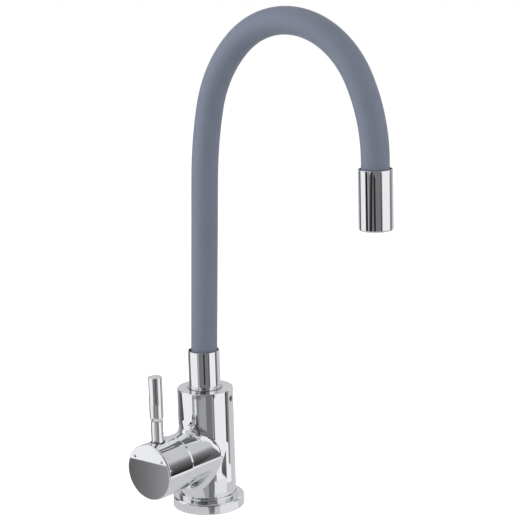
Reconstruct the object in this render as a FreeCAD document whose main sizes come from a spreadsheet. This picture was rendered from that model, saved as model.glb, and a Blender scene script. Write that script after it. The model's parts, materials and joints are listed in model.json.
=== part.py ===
import FreeCAD, Part
import math
import os
from types import SimpleNamespace

import Sketcher
from FreeCAD import Placement, Rotation, Vector

# Kitchen mixer tap with a bendable hose spout and a side pin lever.
# Row frame in millimetres: origin on the deck under the column, +Z up,
# +X towards the outlet, -Y towards the lever cap.

SIZES = [
    # Column and base ring
    ("body_radius", 22.5, "outer radius of the column"),
    ("body_top", 98.7, "height of the column's top face above the deck"),
    ("body_edge", 0.5, "rounding of the column's top edge and the boss's rim"),
    ("fixed_gap", 0.2, "side gap between pieces that are fastened together"),
    ("thread_gap", 0.1, "radial gap of a screwed fit, threads left plain"),
    ("running_gap", 0.05, "radial gap of a shaft that turns in its bore"),
    ("face_gap", 0.3, "gap between faces that pass or nearly meet"),
    ("free_gap", 0.6, "gap beside pieces that swing or stand loose"),
    ("ring_radius", 28.8, "outer radius of the base ring"),
    ("ring_floor", 3.0, "thickness of the base ring under the column"),
    ("ring_top", 8.7, "top of the base ring's wide step"),
    ("ring_edge", 1.4, "rounding of the wide step's outer edge"),
    ("ring_foot", 0.6, "bevel at the foot of the base ring"),
    ("collar_wall", 1.6, "wall of the base ring's narrow step round the column"),
    ("collar_top", 11.5, "top of the base ring's narrow step"),
    ("collar_edge", 0.4, "bevel on the narrow step"),
    ("ring_opening", 18.0, "radius of the hole for hoses and studs"),
    ("gasket_inner", 23.2, "inner radius of the deck gasket"),
    ("gasket_width", 3.0, "width of the deck gasket"),
    ("gasket_thickness", 1.6, "thickness of the deck gasket"),
    ("body_seal_cord", 0.85, "cord radius of the column's O-ring"),
    ("body_seal_height", 6.5, "height of the column's O-ring above the deck"),
    ("groove_slack", 0.15, "room between an O-ring and its groove"),
    # Water ways and fixings under the column
    ("inlet_spacing", 8.5, "half the distance between the two inlets"),
    ("inlet_radius", 4.5, "wall radius of the M10 inlet threads"),
    ("inlet_depth", 14.0, "depth of the inlet threads"),
    ("inlet_way_radius", 2.8, "radius of the hot and cold water ways"),
    ("stud_spacing", 13.0, "half the distance between the two fixing studs"),
    ("stud_radius", 3.4, "wall radius of the M8 stud threads"),
    ("stud_depth", 12.0, "depth of the stud threads"),
    ("mixed_way_radius", 3.6, "radius of the mixed water way"),
    ("port_rise", 5.0, "hot and cold ports above the cartridge axis"),
    ("port_drop", 6.0, "mixed port below the cartridge axis"),
    # Boss that holds the cartridge
    ("boss_height", 46.0, "height of the cartridge axis above the deck"),
    ("boss_radius", 21.4, "outer radius of the boss"),
    ("boss_length", 41.7, "end of the boss, from the column's axis"),
    ("boss_fillet", 9.0, "fillet between the boss and the column"),
    ("seat_sink", 29.2, "cartridge seat, behind the boss's rim"),
    ("nut_bore_radius", 19.0, "wall radius of the cartridge nut's thread"),
    # Ceramic cartridge
    ("cartridge_radius", 17.5, "outer radius of the cartridge"),
    ("housing_wall", 1.9, "wall of the cartridge housing"),
    ("base_flange", 1.5, "thickness of the cartridge base's flange"),
    ("base_plug", 1.7, "depth of the cartridge base inside the housing"),
    ("peg_radius", 1.5, "radius of the cartridge base's locating pegs"),
    ("peg_length", 2.4, "length of the locating pegs in the seat"),
    ("peg_spacing", 11.0, "half the distance between the locating pegs"),
    ("peg_drop", 8.5, "locating pegs below the cartridge axis"),
    ("port_seal_cord", 0.72, "cord radius of the port seals"),
    ("port_seal_wall", 0.45, "base material between a port and its seal"),
    ("fixed_disc_radius", 14.5, "radius of the fixed ceramic disc"),
    ("fixed_disc_thickness", 4.0, "thickness of the fixed ceramic disc"),
    ("moving_disc_radius", 13.0, "radius of the moving ceramic disc"),
    ("moving_disc_thickness", 3.0, "thickness of the moving ceramic disc"),
    ("mixing_radius", 9.2, "radius of the mixing hollow in the moving disc"),
    ("mixing_offset", 2.6, "mixing hollow below the moving disc's centre"),
    ("mixing_depth", 1.6, "depth of the mixing hollow"),
    ("coupler_radius", 12.0, "radius of the plastic coupler on the moving disc"),
    ("coupler_thickness", 5.0, "thickness of the coupler"),
    ("carrier_flange", 5.6, "height of the lever carrier's wide foot"),
    ("neck_radius", 12.5, "radius of the lever carrier's neck"),
    ("neck_length", 8.8, "length of the lever carrier's neck"),
    ("neck_wall", 1.25, "wall of the housing round the carrier's neck"),
    ("neck_reveal", 1.2, "carrier's neck beyond the housing"),
    ("shoulder", 1.8, "thickness of the housing's shoulder"),
    ("nut_height", 4.5, "threaded height of the cartridge nut"),
    ("nut_hex_radius", 16.8, "corner radius of the nut's hexagon"),
    ("nut_hex_height", 3.0, "height of the nut's hexagon"),
    # Lever spindle and its pivot
    ("pivot_sink", 5.1, "lever pivot, behind the boss's rim"),
    ("pivot_radius", 2.0, "radius of the pivot pin"),
    ("lever_travel", 25.0, "angle the lever opens through"),
    ("arm_length", 10.5, "pivot to the ball that drives the disc"),
    ("arm_radius", 2.1, "radius of the arm that carries the ball"),
    ("ball_radius", 2.6, "radius of the ball"),
    ("spindle_width", 7.0, "width of the spindle's square"),
    ("spindle_height", 8.0, "height of the spindle's square"),
    ("spindle_heel", 3.6, "spindle's square behind the pivot"),
    ("spindle_tip", 28.9, "spindle's tip in front of the pivot"),
    # Trim dome and lever cap
    ("dome_wall", 1.4, "wall of the trim dome"),
    ("dome_opening", 15.7, "radius of the dome's opening for the spindle"),
    ("dome_skirt_wall", 0.85, "wall of the dome's skirt inside the boss"),
    ("seam", 0.9, "gap between the boss and the lever cap"),
    ("dome_gap", 0.3, "gap between the trim dome and the cap's hollow"),
    ("cap_lip", 0.2, "cap radius beyond its own hollow's radius"),
    ("cap_length", 26.9, "length of the lever cap"),
    ("cap_edge", 0.7, "bevel round the cap's face"),
    ("hub_radius", 6.5, "radius of the hub inside the cap"),
    ("hub_reach", 13.4, "inner end of the hub, from the pivot"),
    ("grub_radius", 2.5, "radius of the M5 grub screw's hole"),
    ("grub_length", 8.0, "length of the grub screw"),
    ("grub_from_face", 7.0, "grub screw's axis, behind the cap's face"),
    ("hex_key_radius", 1.4, "corner radius of the grub screws' key sockets"),
    ("mark_radius", 1.1, "radius of the cold and hot marks"),
    ("mark_depth", 0.5, "depth of the marks in the face"),
    ("mark_side", 14.0, "marks beside the cap's axis"),
    ("mark_rise", 11.0, "marks above the cap's axis"),
    # Pin lever
    ("pin_from_face", 11.5, "pin's axis, behind the cap's face"),
    ("pin_radius", 4.85, "radius of the pin's lower stem"),
    ("pin_seat", 21.2, "pin's seat above the cap's axis"),
    ("pin_step", 40.0, "foot of the grip above the cap's axis"),
    ("pin_groove", 0.35, "fine groove under the grip"),
    ("pin_thread_radius", 3.0, "radius of the pin's M6 thread"),
    ("pin_thread_length", 9.0, "length of the pin's thread in the cap"),
    ("grip_radius", 5.45, "radius of the grip"),
    ("grip_bevel", 2.6, "height of the grip's tapered foot"),
    ("grip_top", 75.4, "top of the grip above the cap's axis"),
    ("grip_edge", 0.6, "rounding of the grip's top edge"),
    ("washer_wall", 0.95, "width of the black washer round the pin"),
    ("washer_thickness", 1.15, "thickness of the black washer"),
    # Swivel nipple in the column
    ("nipple_radius", 10.0, "radius of the swivel nipple"),
    ("nipple_bore", 5.5, "bore of the swivel nipple"),
    ("nipple_depth", 36.7, "foot of the nipple's socket below the column's top"),
    ("nipple_seal_cord", 0.8, "cord radius of the nipple's O-rings"),
    ("nipple_seal_drop", 30.7, "lower O-ring below the column's top"),
    ("nipple_seal_step", 6.0, "distance between the nipple's O-rings"),
    ("glide_ring_height", 2.4, "height of the plastic glide ring"),
    ("glide_ring_depth", 1.0, "depth of the glide ring in the nipple"),
    ("glide_ring_drop", 18.7, "glide ring's foot below the column's top"),
    ("set_screw_drop", 7.7, "spout set screw below the column's top"),
    ("set_screw_radius", 2.6, "radius of the spout set screw's hole"),
    ("set_screw_angle", 16.5, "set screw, turned from the outlet's side"),
    ("set_screw_sink", 0.8, "set screw's head below the column's skin"),
    ("set_screw_key", 3.8, "depth of the set screw's key socket"),
    ("retainer_depth", 1.4, "depth of the nipple's retaining groove"),
    ("retainer_width", 3.6, "width of the nipple's retaining groove"),
    ("swivel_washer", 1.2, "thickness of the washer under the flange"),
    ("flange_thickness", 3.0, "thickness of the nipple's flange"),
    ("flange_lip", 0.65, "flange radius beyond the ferrule"),
    ("flange_rise", 0.2, "flange top above the column's top"),
    ("recess_gap", 0.75, "dark ring between the flange and the column"),
    # Hose layers
    ("sleeve_radius", 10.5, "outer radius of the silicone sleeve"),
    ("sleeve_wall", 2.2, "wall of the silicone sleeve"),
    ("layer_gap", 0.3, "gap between the hose's layers"),
    ("core_wall", 0.7, "wall of the shape-holding steel core"),
    ("tube_radius", 6.0, "outer radius of the water tube"),
    ("tube_wall", 1.7, "wall of the water tube"),
    ("crimp_wall", 1.3, "wall of the crimped collars on the water tube"),
    ("crown_gap", 0.6, "gap of the ball cut at the crown"),
    ("nose_opening", 6.2, "radius of the water way through the ball cut"),
    # Ferrules and fittings at both ends
    ("ferrule_gap", 1.45, "dark gap between the sleeve and the ferrules"),
    ("ferrule_wall", 0.8, "wall of the ferrules"),
    ("ferrule_rim", 0.3, "bevel on the ferrules' rims"),
    ("lower_ferrule_length", 30.9, "length of the lower ferrule"),
    ("fitting_height", 5.1, "height of the nipple's spigot in the ferrule"),
    ("barb_length", 10.8, "length of the barbs in the water tube"),
    ("barb_bore", 2.6, "bore of the barbs"),
    ("outlet_ferrule_length", 45.1, "length of the outlet ferrule"),
    ("outlet_edge", 1.5, "rounding of the outlet ferrule's lower edge"),
    ("outlet_fitting_height", 9.7, "height of the outlet fitting's thick part"),
    ("outlet_bowl_radius", 8.0, "radius of the hollow above the aerator"),
    ("outlet_bowl_depth", 3.2, "straight depth of that hollow"),
    ("outlet_cone_height", 3.3, "height of the cone from the hollow to the barb's bore"),
    ("outlet_seal_cord", 0.8, "cord radius of the outlet's O-ring"),
    # Aerator
    ("aerator_radius", 10.9, "radius of the aerator's M22 thread"),
    ("aerator_height", 8.0, "height of the aerator's housing"),
    ("aerator_inset", 0.5, "aerator above the ferrule's lower edge"),
    ("aerator_wall", 1.5, "wall of the aerator's housing"),
    ("aerator_lip", 0.8, "lip that holds the insert"),
    ("aerator_lip_height", 1.5, "height of the lip"),
    ("insert_height", 4.4, "height of the aerator's insert"),
    ("insert_hole", 0.7, "radius of the insert's jet holes"),
    ("insert_ring", 2.6, "distance between the rings of jet holes"),
    ("screen_thickness", 0.4, "thickness of the aerator's screen"),
    ("aerator_gasket", 1.6, "thickness of the aerator's gasket"),
    # Bending table of the spout
    ("lower_straight", 0.4, "upright run above the nipple's barb"),
    ("ease_radius", 60.0, "radius of the first slight bend"),
    ("ease_angle", 2.8, "turn of the first slight bend"),
    ("riser_straight", 150.9, "long leaning run"),
    ("bend_one_radius", 316.0, "radius of the first bend of the arch"),
    ("bend_one_angle", 10.2, "turn of the first bend"),
    ("bend_two_radius", 99.8, "radius of the second bend"),
    ("bend_two_angle", 35.0, "turn of the second bend"),
    ("crown_radius", 71.8, "radius of the bend over the crown"),
    ("crown_angle", 105.0, "turn of the bend over the crown"),
    ("fall_radius", 127.3, "radius of the last bend"),
    ("outlet_straight", 20.6, "upright run down to the outlet fitting's barb"),
]

SHEET = "Sizes"
PARTS_FOLDER = "parts"
VOLUME_TOLERANCE = 0.002
JET_RING_COUNT = 3
FIRST_RING_JET_COUNT = 6
# Angles in degrees; headings of the hose are turned from straight up
QUARTER_TURN = 90.0
HALF_TURN = 180.0
FULL_TURN = 360.0
LEVEL_HEADING = QUARTER_TURN
DOWN_HEADING = HALF_TURN
UPRIGHT = Rotation()
ALONG_X = Rotation(Vector(0, 1, 0), QUARTER_TURN)
ALONG_Y = Rotation(Vector(1, 0, 0), -QUARTER_TURN)
ALONG_MINUS_Y = Rotation(Vector(1, 0, 0), QUARTER_TURN)
# How far cutting tools stand out of what they cut
MARGIN = 1.0


class Size:
    """A length that keeps its number beside the sheet expression that gives it."""

    def __init__(self, number, text):
        self.number = number
        self.text = text

    def __add__(self, other):
        other = as_size(other)
        return Size(self.number + other.number, f"({self.text} + {other.text})")

    def __sub__(self, other):
        other = as_size(other)
        return Size(self.number - other.number, f"({self.text} - {other.text})")

    def __mul__(self, other):
        other = as_size(other)
        return Size(self.number * other.number, f"({self.text} * {other.text})")

    def __truediv__(self, other):
        other = as_size(other)
        return Size(self.number / other.number, f"({self.text} / {other.text})")

    def __neg__(self):
        return Size(-self.number, f"(0 - {self.text})")


class Bend:
    """An arc between two corners of an outline; turn is 1 anticlockwise, -1 clockwise."""

    def __init__(self, across, up, radius, turn):
        self.across = across
        self.up = up
        self.radius = radius
        self.turn = turn


def as_size(value):
    """A plain number joins sizes as a constant."""
    if isinstance(value, Size):
        return value
    return Size(float(value), str(float(value)))


def root(size):
    """Square root of a size."""
    return Size(math.sqrt(size.number), f"sqrt({size.text})")


def leg(long_side, short_side):
    """Third side of a right triangle."""
    return root(long_side * long_side - short_side * short_side)


def fill_sheet():
    """Write the driving dimensions and return them as sizes."""
    sheet = doc.addObject("Spreadsheet::Sheet", SHEET)
    for row, (alias, number, meaning) in enumerate(SIZES, start=1):
        sheet.set(f"A{row}", meaning)
        sheet.set(f"B{row}", str(number))
        sheet.setAlias(f"B{row}", alias)
    doc.recompute()
    return SimpleNamespace(
        **{alias: Size(float(sheet.get(alias)), f"{SHEET}.{alias}") for alias, _, _ in SIZES}
    )


def bind(thing, name, value):
    """Set a property from a size and keep the expression with it."""
    value = as_size(value)
    setattr(thing, name, value.number)
    thing.setExpression(name, value.text)


def place(thing, x=0, y=0, z=0, rotation=UPRIGHT):
    """Put a piece in place, each coordinate bound to its size."""
    spots = [as_size(value) for value in (x, y, z)]
    thing.Placement = Placement(Vector(*[spot.number for spot in spots]), rotation)
    for axis, spot in zip("xyz", spots):
        thing.setExpression(f"Placement.Base.{axis}", spot.text)
    return thing


def keep(label, thing):
    """Register a finished piece under the name of its file."""
    thing.Label = label
    pieces[label] = thing
    return thing


def cylinder(name, radius, height, x=0, y=0, z=0, rotation=UPRIGHT):
    thing = doc.addObject("Part::Cylinder", name)
    bind(thing, "Radius", radius)
    bind(thing, "Height", height)
    return place(thing, x, y, z, rotation)


def block(name, length, width, height, x=0, y=0, z=0):
    """A box centred on x and y, standing on z."""
    length, width = as_size(length), as_size(width)
    thing = doc.addObject("Part::Box", name)
    bind(thing, "Length", length)
    bind(thing, "Width", width)
    bind(thing, "Height", height)
    return place(thing, as_size(x) - length / 2, as_size(y) - width / 2, z)


def ball(name, radius, x=0, y=0, z=0):
    thing = doc.addObject("Part::Sphere", name)
    bind(thing, "Radius", radius)
    return place(thing, x, y, z)


def seal_ring(name, radius, cord, x=0, y=0, z=0):
    thing = doc.addObject("Part::Torus", name)
    bind(thing, "Radius1", radius)
    bind(thing, "Radius2", cord)
    return place(thing, x, y, z)


def fuse(name, *parts):
    thing = doc.addObject("Part::MultiFuse", name)
    thing.Shapes = list(parts)
    return thing


def group(name, *parts):
    """Solids that share one node, or a lone one that needs a placement over its own."""
    thing = doc.addObject("Part::Compound", name)
    thing.Links = list(parts)
    return thing


def cut(name, base, *tools):
    thing = doc.addObject("Part::Cut", name)
    thing.Base = base
    thing.Tool = tools[0] if len(tools) == 1 else fuse(name + "_tools", *tools)
    return thing


def hexagon_bar(name, corner_radius, height, x=0, y=0, z=0, rotation=UPRIGHT):
    thing = doc.addObject("Part::Prism", name)
    thing.Polygon = 6
    bind(thing, "Circumradius", corner_radius)
    bind(thing, "Height", height)
    return place(thing, x, y, z, rotation)


def arc_edge(start, bend, end):
    """Sketch arc from one corner to the next; the sketcher runs it anticlockwise."""
    first, last = (start, end) if bend.turn > 0 else (end, start)
    centre = Vector(as_size(bend.across).number, as_size(bend.up).number, 0)
    angles = [
        math.atan2(as_size(up).number - centre.y, as_size(across).number - centre.x)
        for across, up in (first, last)
    ]
    circle = Part.Circle(centre, Vector(0, 0, 1), as_size(bend.radius).number)
    return Part.ArcOfCircle(circle, angles[0], angles[1])


def draw_outline(sketch, outline):
    """Closed outline of corners and bends, every corner bound to its sizes."""
    corners = []
    bends = {}
    for item in outline:
        if isinstance(item, Bend):
            bends[len(corners) - 1] = item
        else:
            corners.append(item)
    ends = []
    for index, start in enumerate(corners):
        end = corners[(index + 1) % len(corners)]
        bend = bends.get(index)
        if bend is None:
            points = [Vector(as_size(a).number, as_size(b).number, 0) for a, b in (start, end)]
            edge = sketch.addGeometry(Part.LineSegment(*points), False)
            ends.append((edge, 1, 2))
        else:
            edge = sketch.addGeometry(arc_edge(start, bend, end), False)
            ends.append((edge, 1, 2) if bend.turn > 0 else (edge, 2, 1))
    for index, (edge, first, _) in enumerate(ends):
        before, _, last = ends[index - 1]
        sketch.addConstraint(Sketcher.Constraint("Coincident", before, last, edge, first))
        for kind, value, axis in zip(("DistanceX", "DistanceY"), corners[index], (-2, -1)):
            value = as_size(value)
            if value.number == 0:
                sketch.addConstraint(Sketcher.Constraint("PointOnObject", edge, first, axis))
            else:
                drive(sketch, Sketcher.Constraint(kind, -1, 1, edge, first, value.number), value)
        if index in bends:
            radius = as_size(bends[index].radius)
            drive(sketch, Sketcher.Constraint("Radius", edge, radius.number), radius)


def drive(sketch, constraint, value):
    """Add a constraint and bind it to its size."""
    index = sketch.addConstraint(constraint)
    sketch.setExpression(f"Constraints[{index}]", value.text)


def turned(name, outline):
    """Body of revolution about its own Z axis, from an outline of (radius, height) corners."""
    body = doc.addObject("PartDesign::Body", name)
    sketch = body.newObject("Sketcher::SketchObject", name + "_outline")
    plane = next(item for item in body.Origin.OriginFeatures if item.Role == "XZ_Plane")
    sketch.AttachmentSupport = [(plane, "")]
    sketch.MapMode = "FlatFace"
    draw_outline(sketch, outline)
    doc.recompute()
    revolution = body.newObject("PartDesign::Revolution", name + "_turn")
    revolution.Profile = (sketch, [""])
    revolution.ReferenceAxis = (sketch, ["V_Axis"])
    revolution.Angle = FULL_TURN
    sketch.Visibility = False
    return body


def on_cartridge(thing):
    """Frame of the cartridge: its Z axis runs out of the boss, its Y axis is up."""
    return place(thing, z=s.boss_height, rotation=ALONG_MINUS_Y)


def make_base_ring():
    collar = s.body_radius + s.fixed_gap + s.collar_wall
    bore = s.body_radius + s.fixed_gap
    groove = s.gasket_inner + s.gasket_width
    outline = [
        (s.ring_opening, 0),
        (s.gasket_inner, 0),
        (s.gasket_inner, s.gasket_thickness),
        (groove, s.gasket_thickness),
        (groove, 0),
        (s.ring_radius - s.ring_foot, 0),
        (s.ring_radius, s.ring_foot),
        (s.ring_radius, s.ring_top - s.ring_edge),
        Bend(s.ring_radius - s.ring_edge, s.ring_top - s.ring_edge, s.ring_edge, 1),
        (s.ring_radius - s.ring_edge, s.ring_top),
        (collar, s.ring_top),
        (collar, s.collar_top - s.collar_edge),
        (collar - s.collar_edge, s.collar_top),
        (bore, s.collar_top),
        (bore, s.ring_floor),
        (s.ring_opening, s.ring_floor),
    ]
    keep("base_ring", turned("base_ring", outline))
    inner = s.gasket_inner + s.running_gap
    outer = groove - s.running_gap
    gasket = [(inner, 0), (outer, 0), (outer, s.gasket_thickness), (inner, s.gasket_thickness)]
    keep("base_gasket", turned("base_gasket", gasket))


def body_groove():
    """Depth radius of the column's O-ring groove and the O-ring's centre radius."""
    outside = s.body_radius + s.fixed_gap - s.running_gap
    centre = outside - s.body_seal_cord
    return centre - s.body_seal_cord - s.groove_slack / 2, centre


def make_body():
    column_height = s.body_top - s.ring_floor
    column = cylinder("column", s.body_radius, column_height, z=s.ring_floor)
    boss = cylinder(
        "boss", s.boss_radius, s.boss_length, z=s.boss_height, rotation=ALONG_MINUS_Y
    )
    joined = fuse("column_and_boss", column, boss)
    doc.recompute()
    shell = doc.addObject("Part::Fillet", "body_shell")
    shell.Base = joined
    shell.Edges = fillet_edges(joined.Shape)
    beyond = s.boss_length + MARGIN
    groove_radius, _ = body_groove()
    half_groove = s.body_seal_cord + s.groove_slack
    groove = turned(
        "body_groove",
        [
            (groove_radius, s.body_seal_height - half_groove),
            (s.body_radius + MARGIN, s.body_seal_height - half_groove),
            (s.body_radius + MARGIN, s.body_seal_height + half_groove),
            (groove_radius, s.body_seal_height + half_groove),
        ],
    )
    tools = [
        groove,
        cylinder(
            "cartridge_bore",
            s.cartridge_radius + s.fixed_gap,
            beyond - seat_depth,
            y=-seat_depth,
            z=s.boss_height,
            rotation=ALONG_MINUS_Y,
        ),
        cylinder(
            "nut_bore",
            s.nut_bore_radius,
            beyond - shoulder_top,
            y=-shoulder_top,
            z=s.boss_height,
            rotation=ALONG_MINUS_Y,
        ),
        cylinder(
            "nipple_socket",
            s.nipple_radius + s.running_gap,
            s.body_top + MARGIN - nipple_foot,
            z=nipple_foot,
        ),
        cylinder(
            "flange_recess",
            flange_radius + s.recess_gap,
            s.body_top + MARGIN - recess_floor,
            z=recess_floor,
        ),
        cylinder(
            "mixed_way",
            s.mixed_way_radius,
            nipple_foot + MARGIN - mixed_height,
            z=mixed_height,
        ),
        cylinder(
            "mixed_port",
            s.mixed_way_radius,
            seat_depth + MARGIN,
            z=mixed_height,
            rotation=ALONG_MINUS_Y,
        ),
        cylinder(
            "set_screw_hole",
            s.set_screw_radius,
            s.body_radius + MARGIN,
            z=s.body_top - s.set_screw_drop,
            rotation=set_screw_rotation,
        ),
    ]
    for name, side in (("cold", -1), ("hot", 1)):
        x = s.inlet_spacing * side
        tools += [
            cylinder(
                name + "_inlet",
                s.inlet_radius,
                s.inlet_depth + MARGIN,
                x=x,
                z=s.ring_floor - MARGIN,
            ),
            cylinder(
                name + "_way",
                s.inlet_way_radius,
                s.boss_height + s.port_rise - s.ring_floor,
                x=x,
                z=s.ring_floor,
            ),
            cylinder(
                name + "_port",
                s.inlet_way_radius,
                seat_depth + MARGIN,
                x=x,
                z=s.boss_height + s.port_rise,
                rotation=ALONG_MINUS_Y,
            ),
            cylinder(
                name + "_peg_hole",
                s.peg_radius + s.running_gap,
                s.peg_length + MARGIN,
                x=s.peg_spacing * side,
                y=-(seat_depth - s.peg_length),
                z=s.boss_height - s.peg_drop,
                rotation=ALONG_MINUS_Y,
            ),
            cylinder(
                name + "_stud_hole",
                s.stud_radius,
                s.stud_depth + MARGIN,
                y=s.stud_spacing * side,
                z=s.ring_floor - MARGIN,
            ),
        ]
    keep("tap_body", cut("tap_body", shell, *tools))
    _, seal_centre = body_groove()
    keep(
        "body_o_ring",
        seal_ring("body_o_ring", seal_centre, s.body_seal_cord, z=s.body_seal_height),
    )


def fillet_edges(shape):
    """Edges to round: the seam of column and boss, the column's top and the boss's rim."""
    chosen = []
    for index, edge in enumerate(shape.Edges, start=1):
        faces = shape.ancestorsOfType(edge, Part.Face)
        round_faces = [face for face in faces if isinstance(face.Surface, Part.Cylinder)]
        flat_faces = [face for face in faces if isinstance(face.Surface, Part.Plane)]
        if len(round_faces) == 2 and not round_faces[0].isSame(round_faces[1]):
            chosen.append((index, s.boss_fillet.number, s.boss_fillet.number))
        elif flat_faces and edge.BoundBox.ZMin > s.ring_floor.number:
            chosen.append((index, s.body_edge.number, s.body_edge.number))
    return chosen


def make_cartridge():
    inner = s.cartridge_radius - s.housing_wall
    flange_floor = seat_depth + s.face_gap
    flange_top = flange_floor + s.base_flange
    base = turned(
        "base_turning",
        [
            (0, flange_floor),
            (s.cartridge_radius, flange_floor),
            (s.cartridge_radius, flange_top),
            (inner - s.fixed_gap, flange_top),
            (inner - s.fixed_gap, disc_seat),
            (0, disc_seat),
        ],
    )
    pegs = [
        cylinder(
            f"peg_{side}",
            s.peg_radius,
            s.peg_length + s.face_gap,
            x=s.peg_spacing * side,
            y=-s.peg_drop,
            z=flange_floor - s.peg_length,
        )
        for side in (-1, 1)
    ]
    ports = []
    grooves = []
    seals = []
    places = [
        ("cold", -s.inlet_spacing, s.port_rise, s.inlet_way_radius),
        ("hot", s.inlet_spacing, s.port_rise, s.inlet_way_radius),
        ("mixed", 0, -s.port_drop, s.mixed_way_radius),
    ]
    depth = s.port_seal_cord * 2 - s.face_gap + s.running_gap * 2
    for name, x, y, radius in places:
        length = disc_seat + s.fixed_disc_thickness - flange_floor + MARGIN * 2
        ports.append(cylinder(name + "_hole", radius, length, x, y, flange_floor - MARGIN))
        centre = radius + s.port_seal_wall + s.port_seal_cord
        half = s.port_seal_cord + s.running_gap
        rings = [
            cylinder(name + "_groove_out", centre + half, depth, x, y, flange_floor),
            cylinder(name + "_groove_in", centre - half, depth, x, y, flange_floor),
        ]
        grooves.append(cut(name + "_groove", *rings))
        height = seat_depth + s.port_seal_cord + s.running_gap
        seals.append(seal_ring(name + "_seal", centre, s.port_seal_cord, x, y, height))
    whole = fuse("base_and_pegs", base, *pegs)
    keep("cartridge_base", on_cartridge(cut("cartridge_base", whole, *ports, *grooves)))
    keep("cartridge_port_seals", on_cartridge(group("cartridge_port_seals", *seals)))

    disc = cylinder("disc_blank", s.fixed_disc_radius, s.fixed_disc_thickness, z=disc_seat)
    keep("fixed_disc", on_cartridge(cut("fixed_disc", disc, *ports)))

    bore = s.neck_radius + s.running_gap
    neck = bore + s.neck_wall
    housing = turned(
        "cartridge_housing",
        [
            (inner, flange_top),
            (s.cartridge_radius, flange_top),
            (s.cartridge_radius, shoulder_top),
            (neck, shoulder_top),
            (neck, neck_top - s.neck_reveal),
            (bore, neck_top - s.neck_reveal),
            (bore, shoulder_top - s.shoulder),
            (inner, shoulder_top - s.shoulder),
        ],
    )
    keep("cartridge_housing", on_cartridge(housing))

    nut_foot = shoulder_top + s.fixed_gap
    nut_top = nut_foot + s.nut_height
    ring = cylinder("nut_ring", s.nut_bore_radius - s.thread_gap, s.nut_height, z=nut_foot)
    hexagon = hexagon_bar("nut_hexagon", s.nut_hex_radius, s.nut_hex_height, z=nut_top)
    whole = fuse("nut_blank", ring, hexagon)
    hole = cylinder(
        "nut_hole",
        neck + s.fixed_gap,
        s.nut_height + s.nut_hex_height + MARGIN * 2,
        z=nut_foot - MARGIN,
    )
    keep("cartridge_nut", on_cartridge(cut("cartridge_nut", whole, hole)))


def make_moving_disc():
    """The disc and its coupler, shown closed, below the cartridge's axis."""
    floor = disc_seat + s.fixed_disc_thickness
    blank = cylinder(
        "moving_blank", s.moving_disc_radius, s.moving_disc_thickness, y=-closed_drop, z=floor
    )
    hollow = cylinder(
        "mixing_hollow",
        s.mixing_radius,
        s.mixing_depth + MARGIN,
        y=-(closed_drop + s.mixing_offset),
        z=floor - MARGIN,
    )
    keep("moving_disc", on_cartridge(cut("moving_disc", blank, hollow)))
    top = floor + s.moving_disc_thickness
    plate = cylinder(
        "coupler_plate", s.coupler_radius, s.coupler_thickness, y=-closed_drop, z=top
    )
    width = (s.ball_radius + s.running_gap) * 2
    slot = block(
        "coupler_slot",
        width,
        width,
        s.coupler_thickness,
        y=-closed_drop,
        z=top + s.face_gap,
    )
    keep("disc_coupler", on_cartridge(cut("disc_coupler", plate, slot)))


def make_carrier():
    foot = coupler_top + s.face_gap
    flange = s.cartridge_radius - s.housing_wall - s.face_gap
    blank = turned(
        "carrier_blank",
        [
            (0, foot),
            (flange, foot),
            (flange, foot + s.carrier_flange),
            (s.neck_radius, foot + s.carrier_flange),
            (s.neck_radius, neck_top),
            (0, neck_top),
        ],
    )
    half_height = s.spindle_height / 2
    reach = neck_top - pivot_depth
    sweep = half_height / cosine(s.lever_travel) + reach * tangent(s.lever_travel)
    heel_rise = half_height * cosine(s.lever_travel) + s.spindle_heel * sine(s.lever_travel)
    low = sweep + s.free_gap
    high = heel_rise + s.free_gap
    slot = block(
        "carrier_slot",
        s.spindle_width + s.running_gap * 2,
        low + high,
        neck_top - foot + MARGIN * 2,
        y=(high - low) / 2,
        z=foot - MARGIN,
    )
    length = (s.neck_radius - s.face_gap) * 2
    hole = pivot_bar("carrier_hole", s.pivot_radius + s.running_gap, length + MARGIN * 2)
    keep("lever_carrier", on_cartridge(cut("lever_carrier", blank, slot, hole)))
    pin = pivot_bar("pin_blank", s.pivot_radius, length)
    keep("lever_pivot_pin", on_cartridge(group("lever_pivot_pin", pin)))


def pivot_bar(name, radius, length):
    """A bar along X through the lever's pivot, in the cartridge's frame."""
    return cylinder(name, radius, length, x=-(length / 2), z=pivot_depth, rotation=ALONG_X)


def make_spindle():
    bar = block(
        "spindle_bar",
        s.spindle_width,
        s.spindle_height,
        s.spindle_heel + s.spindle_tip,
        z=pivot_depth - s.spindle_heel,
    )
    arm_depth = leg(s.arm_length, closed_drop)
    arm = cylinder(
        "spindle_arm",
        s.arm_radius,
        s.arm_length,
        z=pivot_depth,
        rotation=Rotation(Vector(1, 0, 0), HALF_TURN - s.lever_travel.number / 2),
    )
    tip = ball("spindle_ball", s.ball_radius, y=-closed_drop, z=pivot_depth - arm_depth)
    hole = pivot_bar(
        "spindle_hole", s.pivot_radius + s.running_gap, s.spindle_width + MARGIN * 2
    )
    whole = fuse("spindle_blank", bar, arm, tip)
    keep("lever_spindle", on_cartridge(cut("lever_spindle", whole, hole)))


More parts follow.
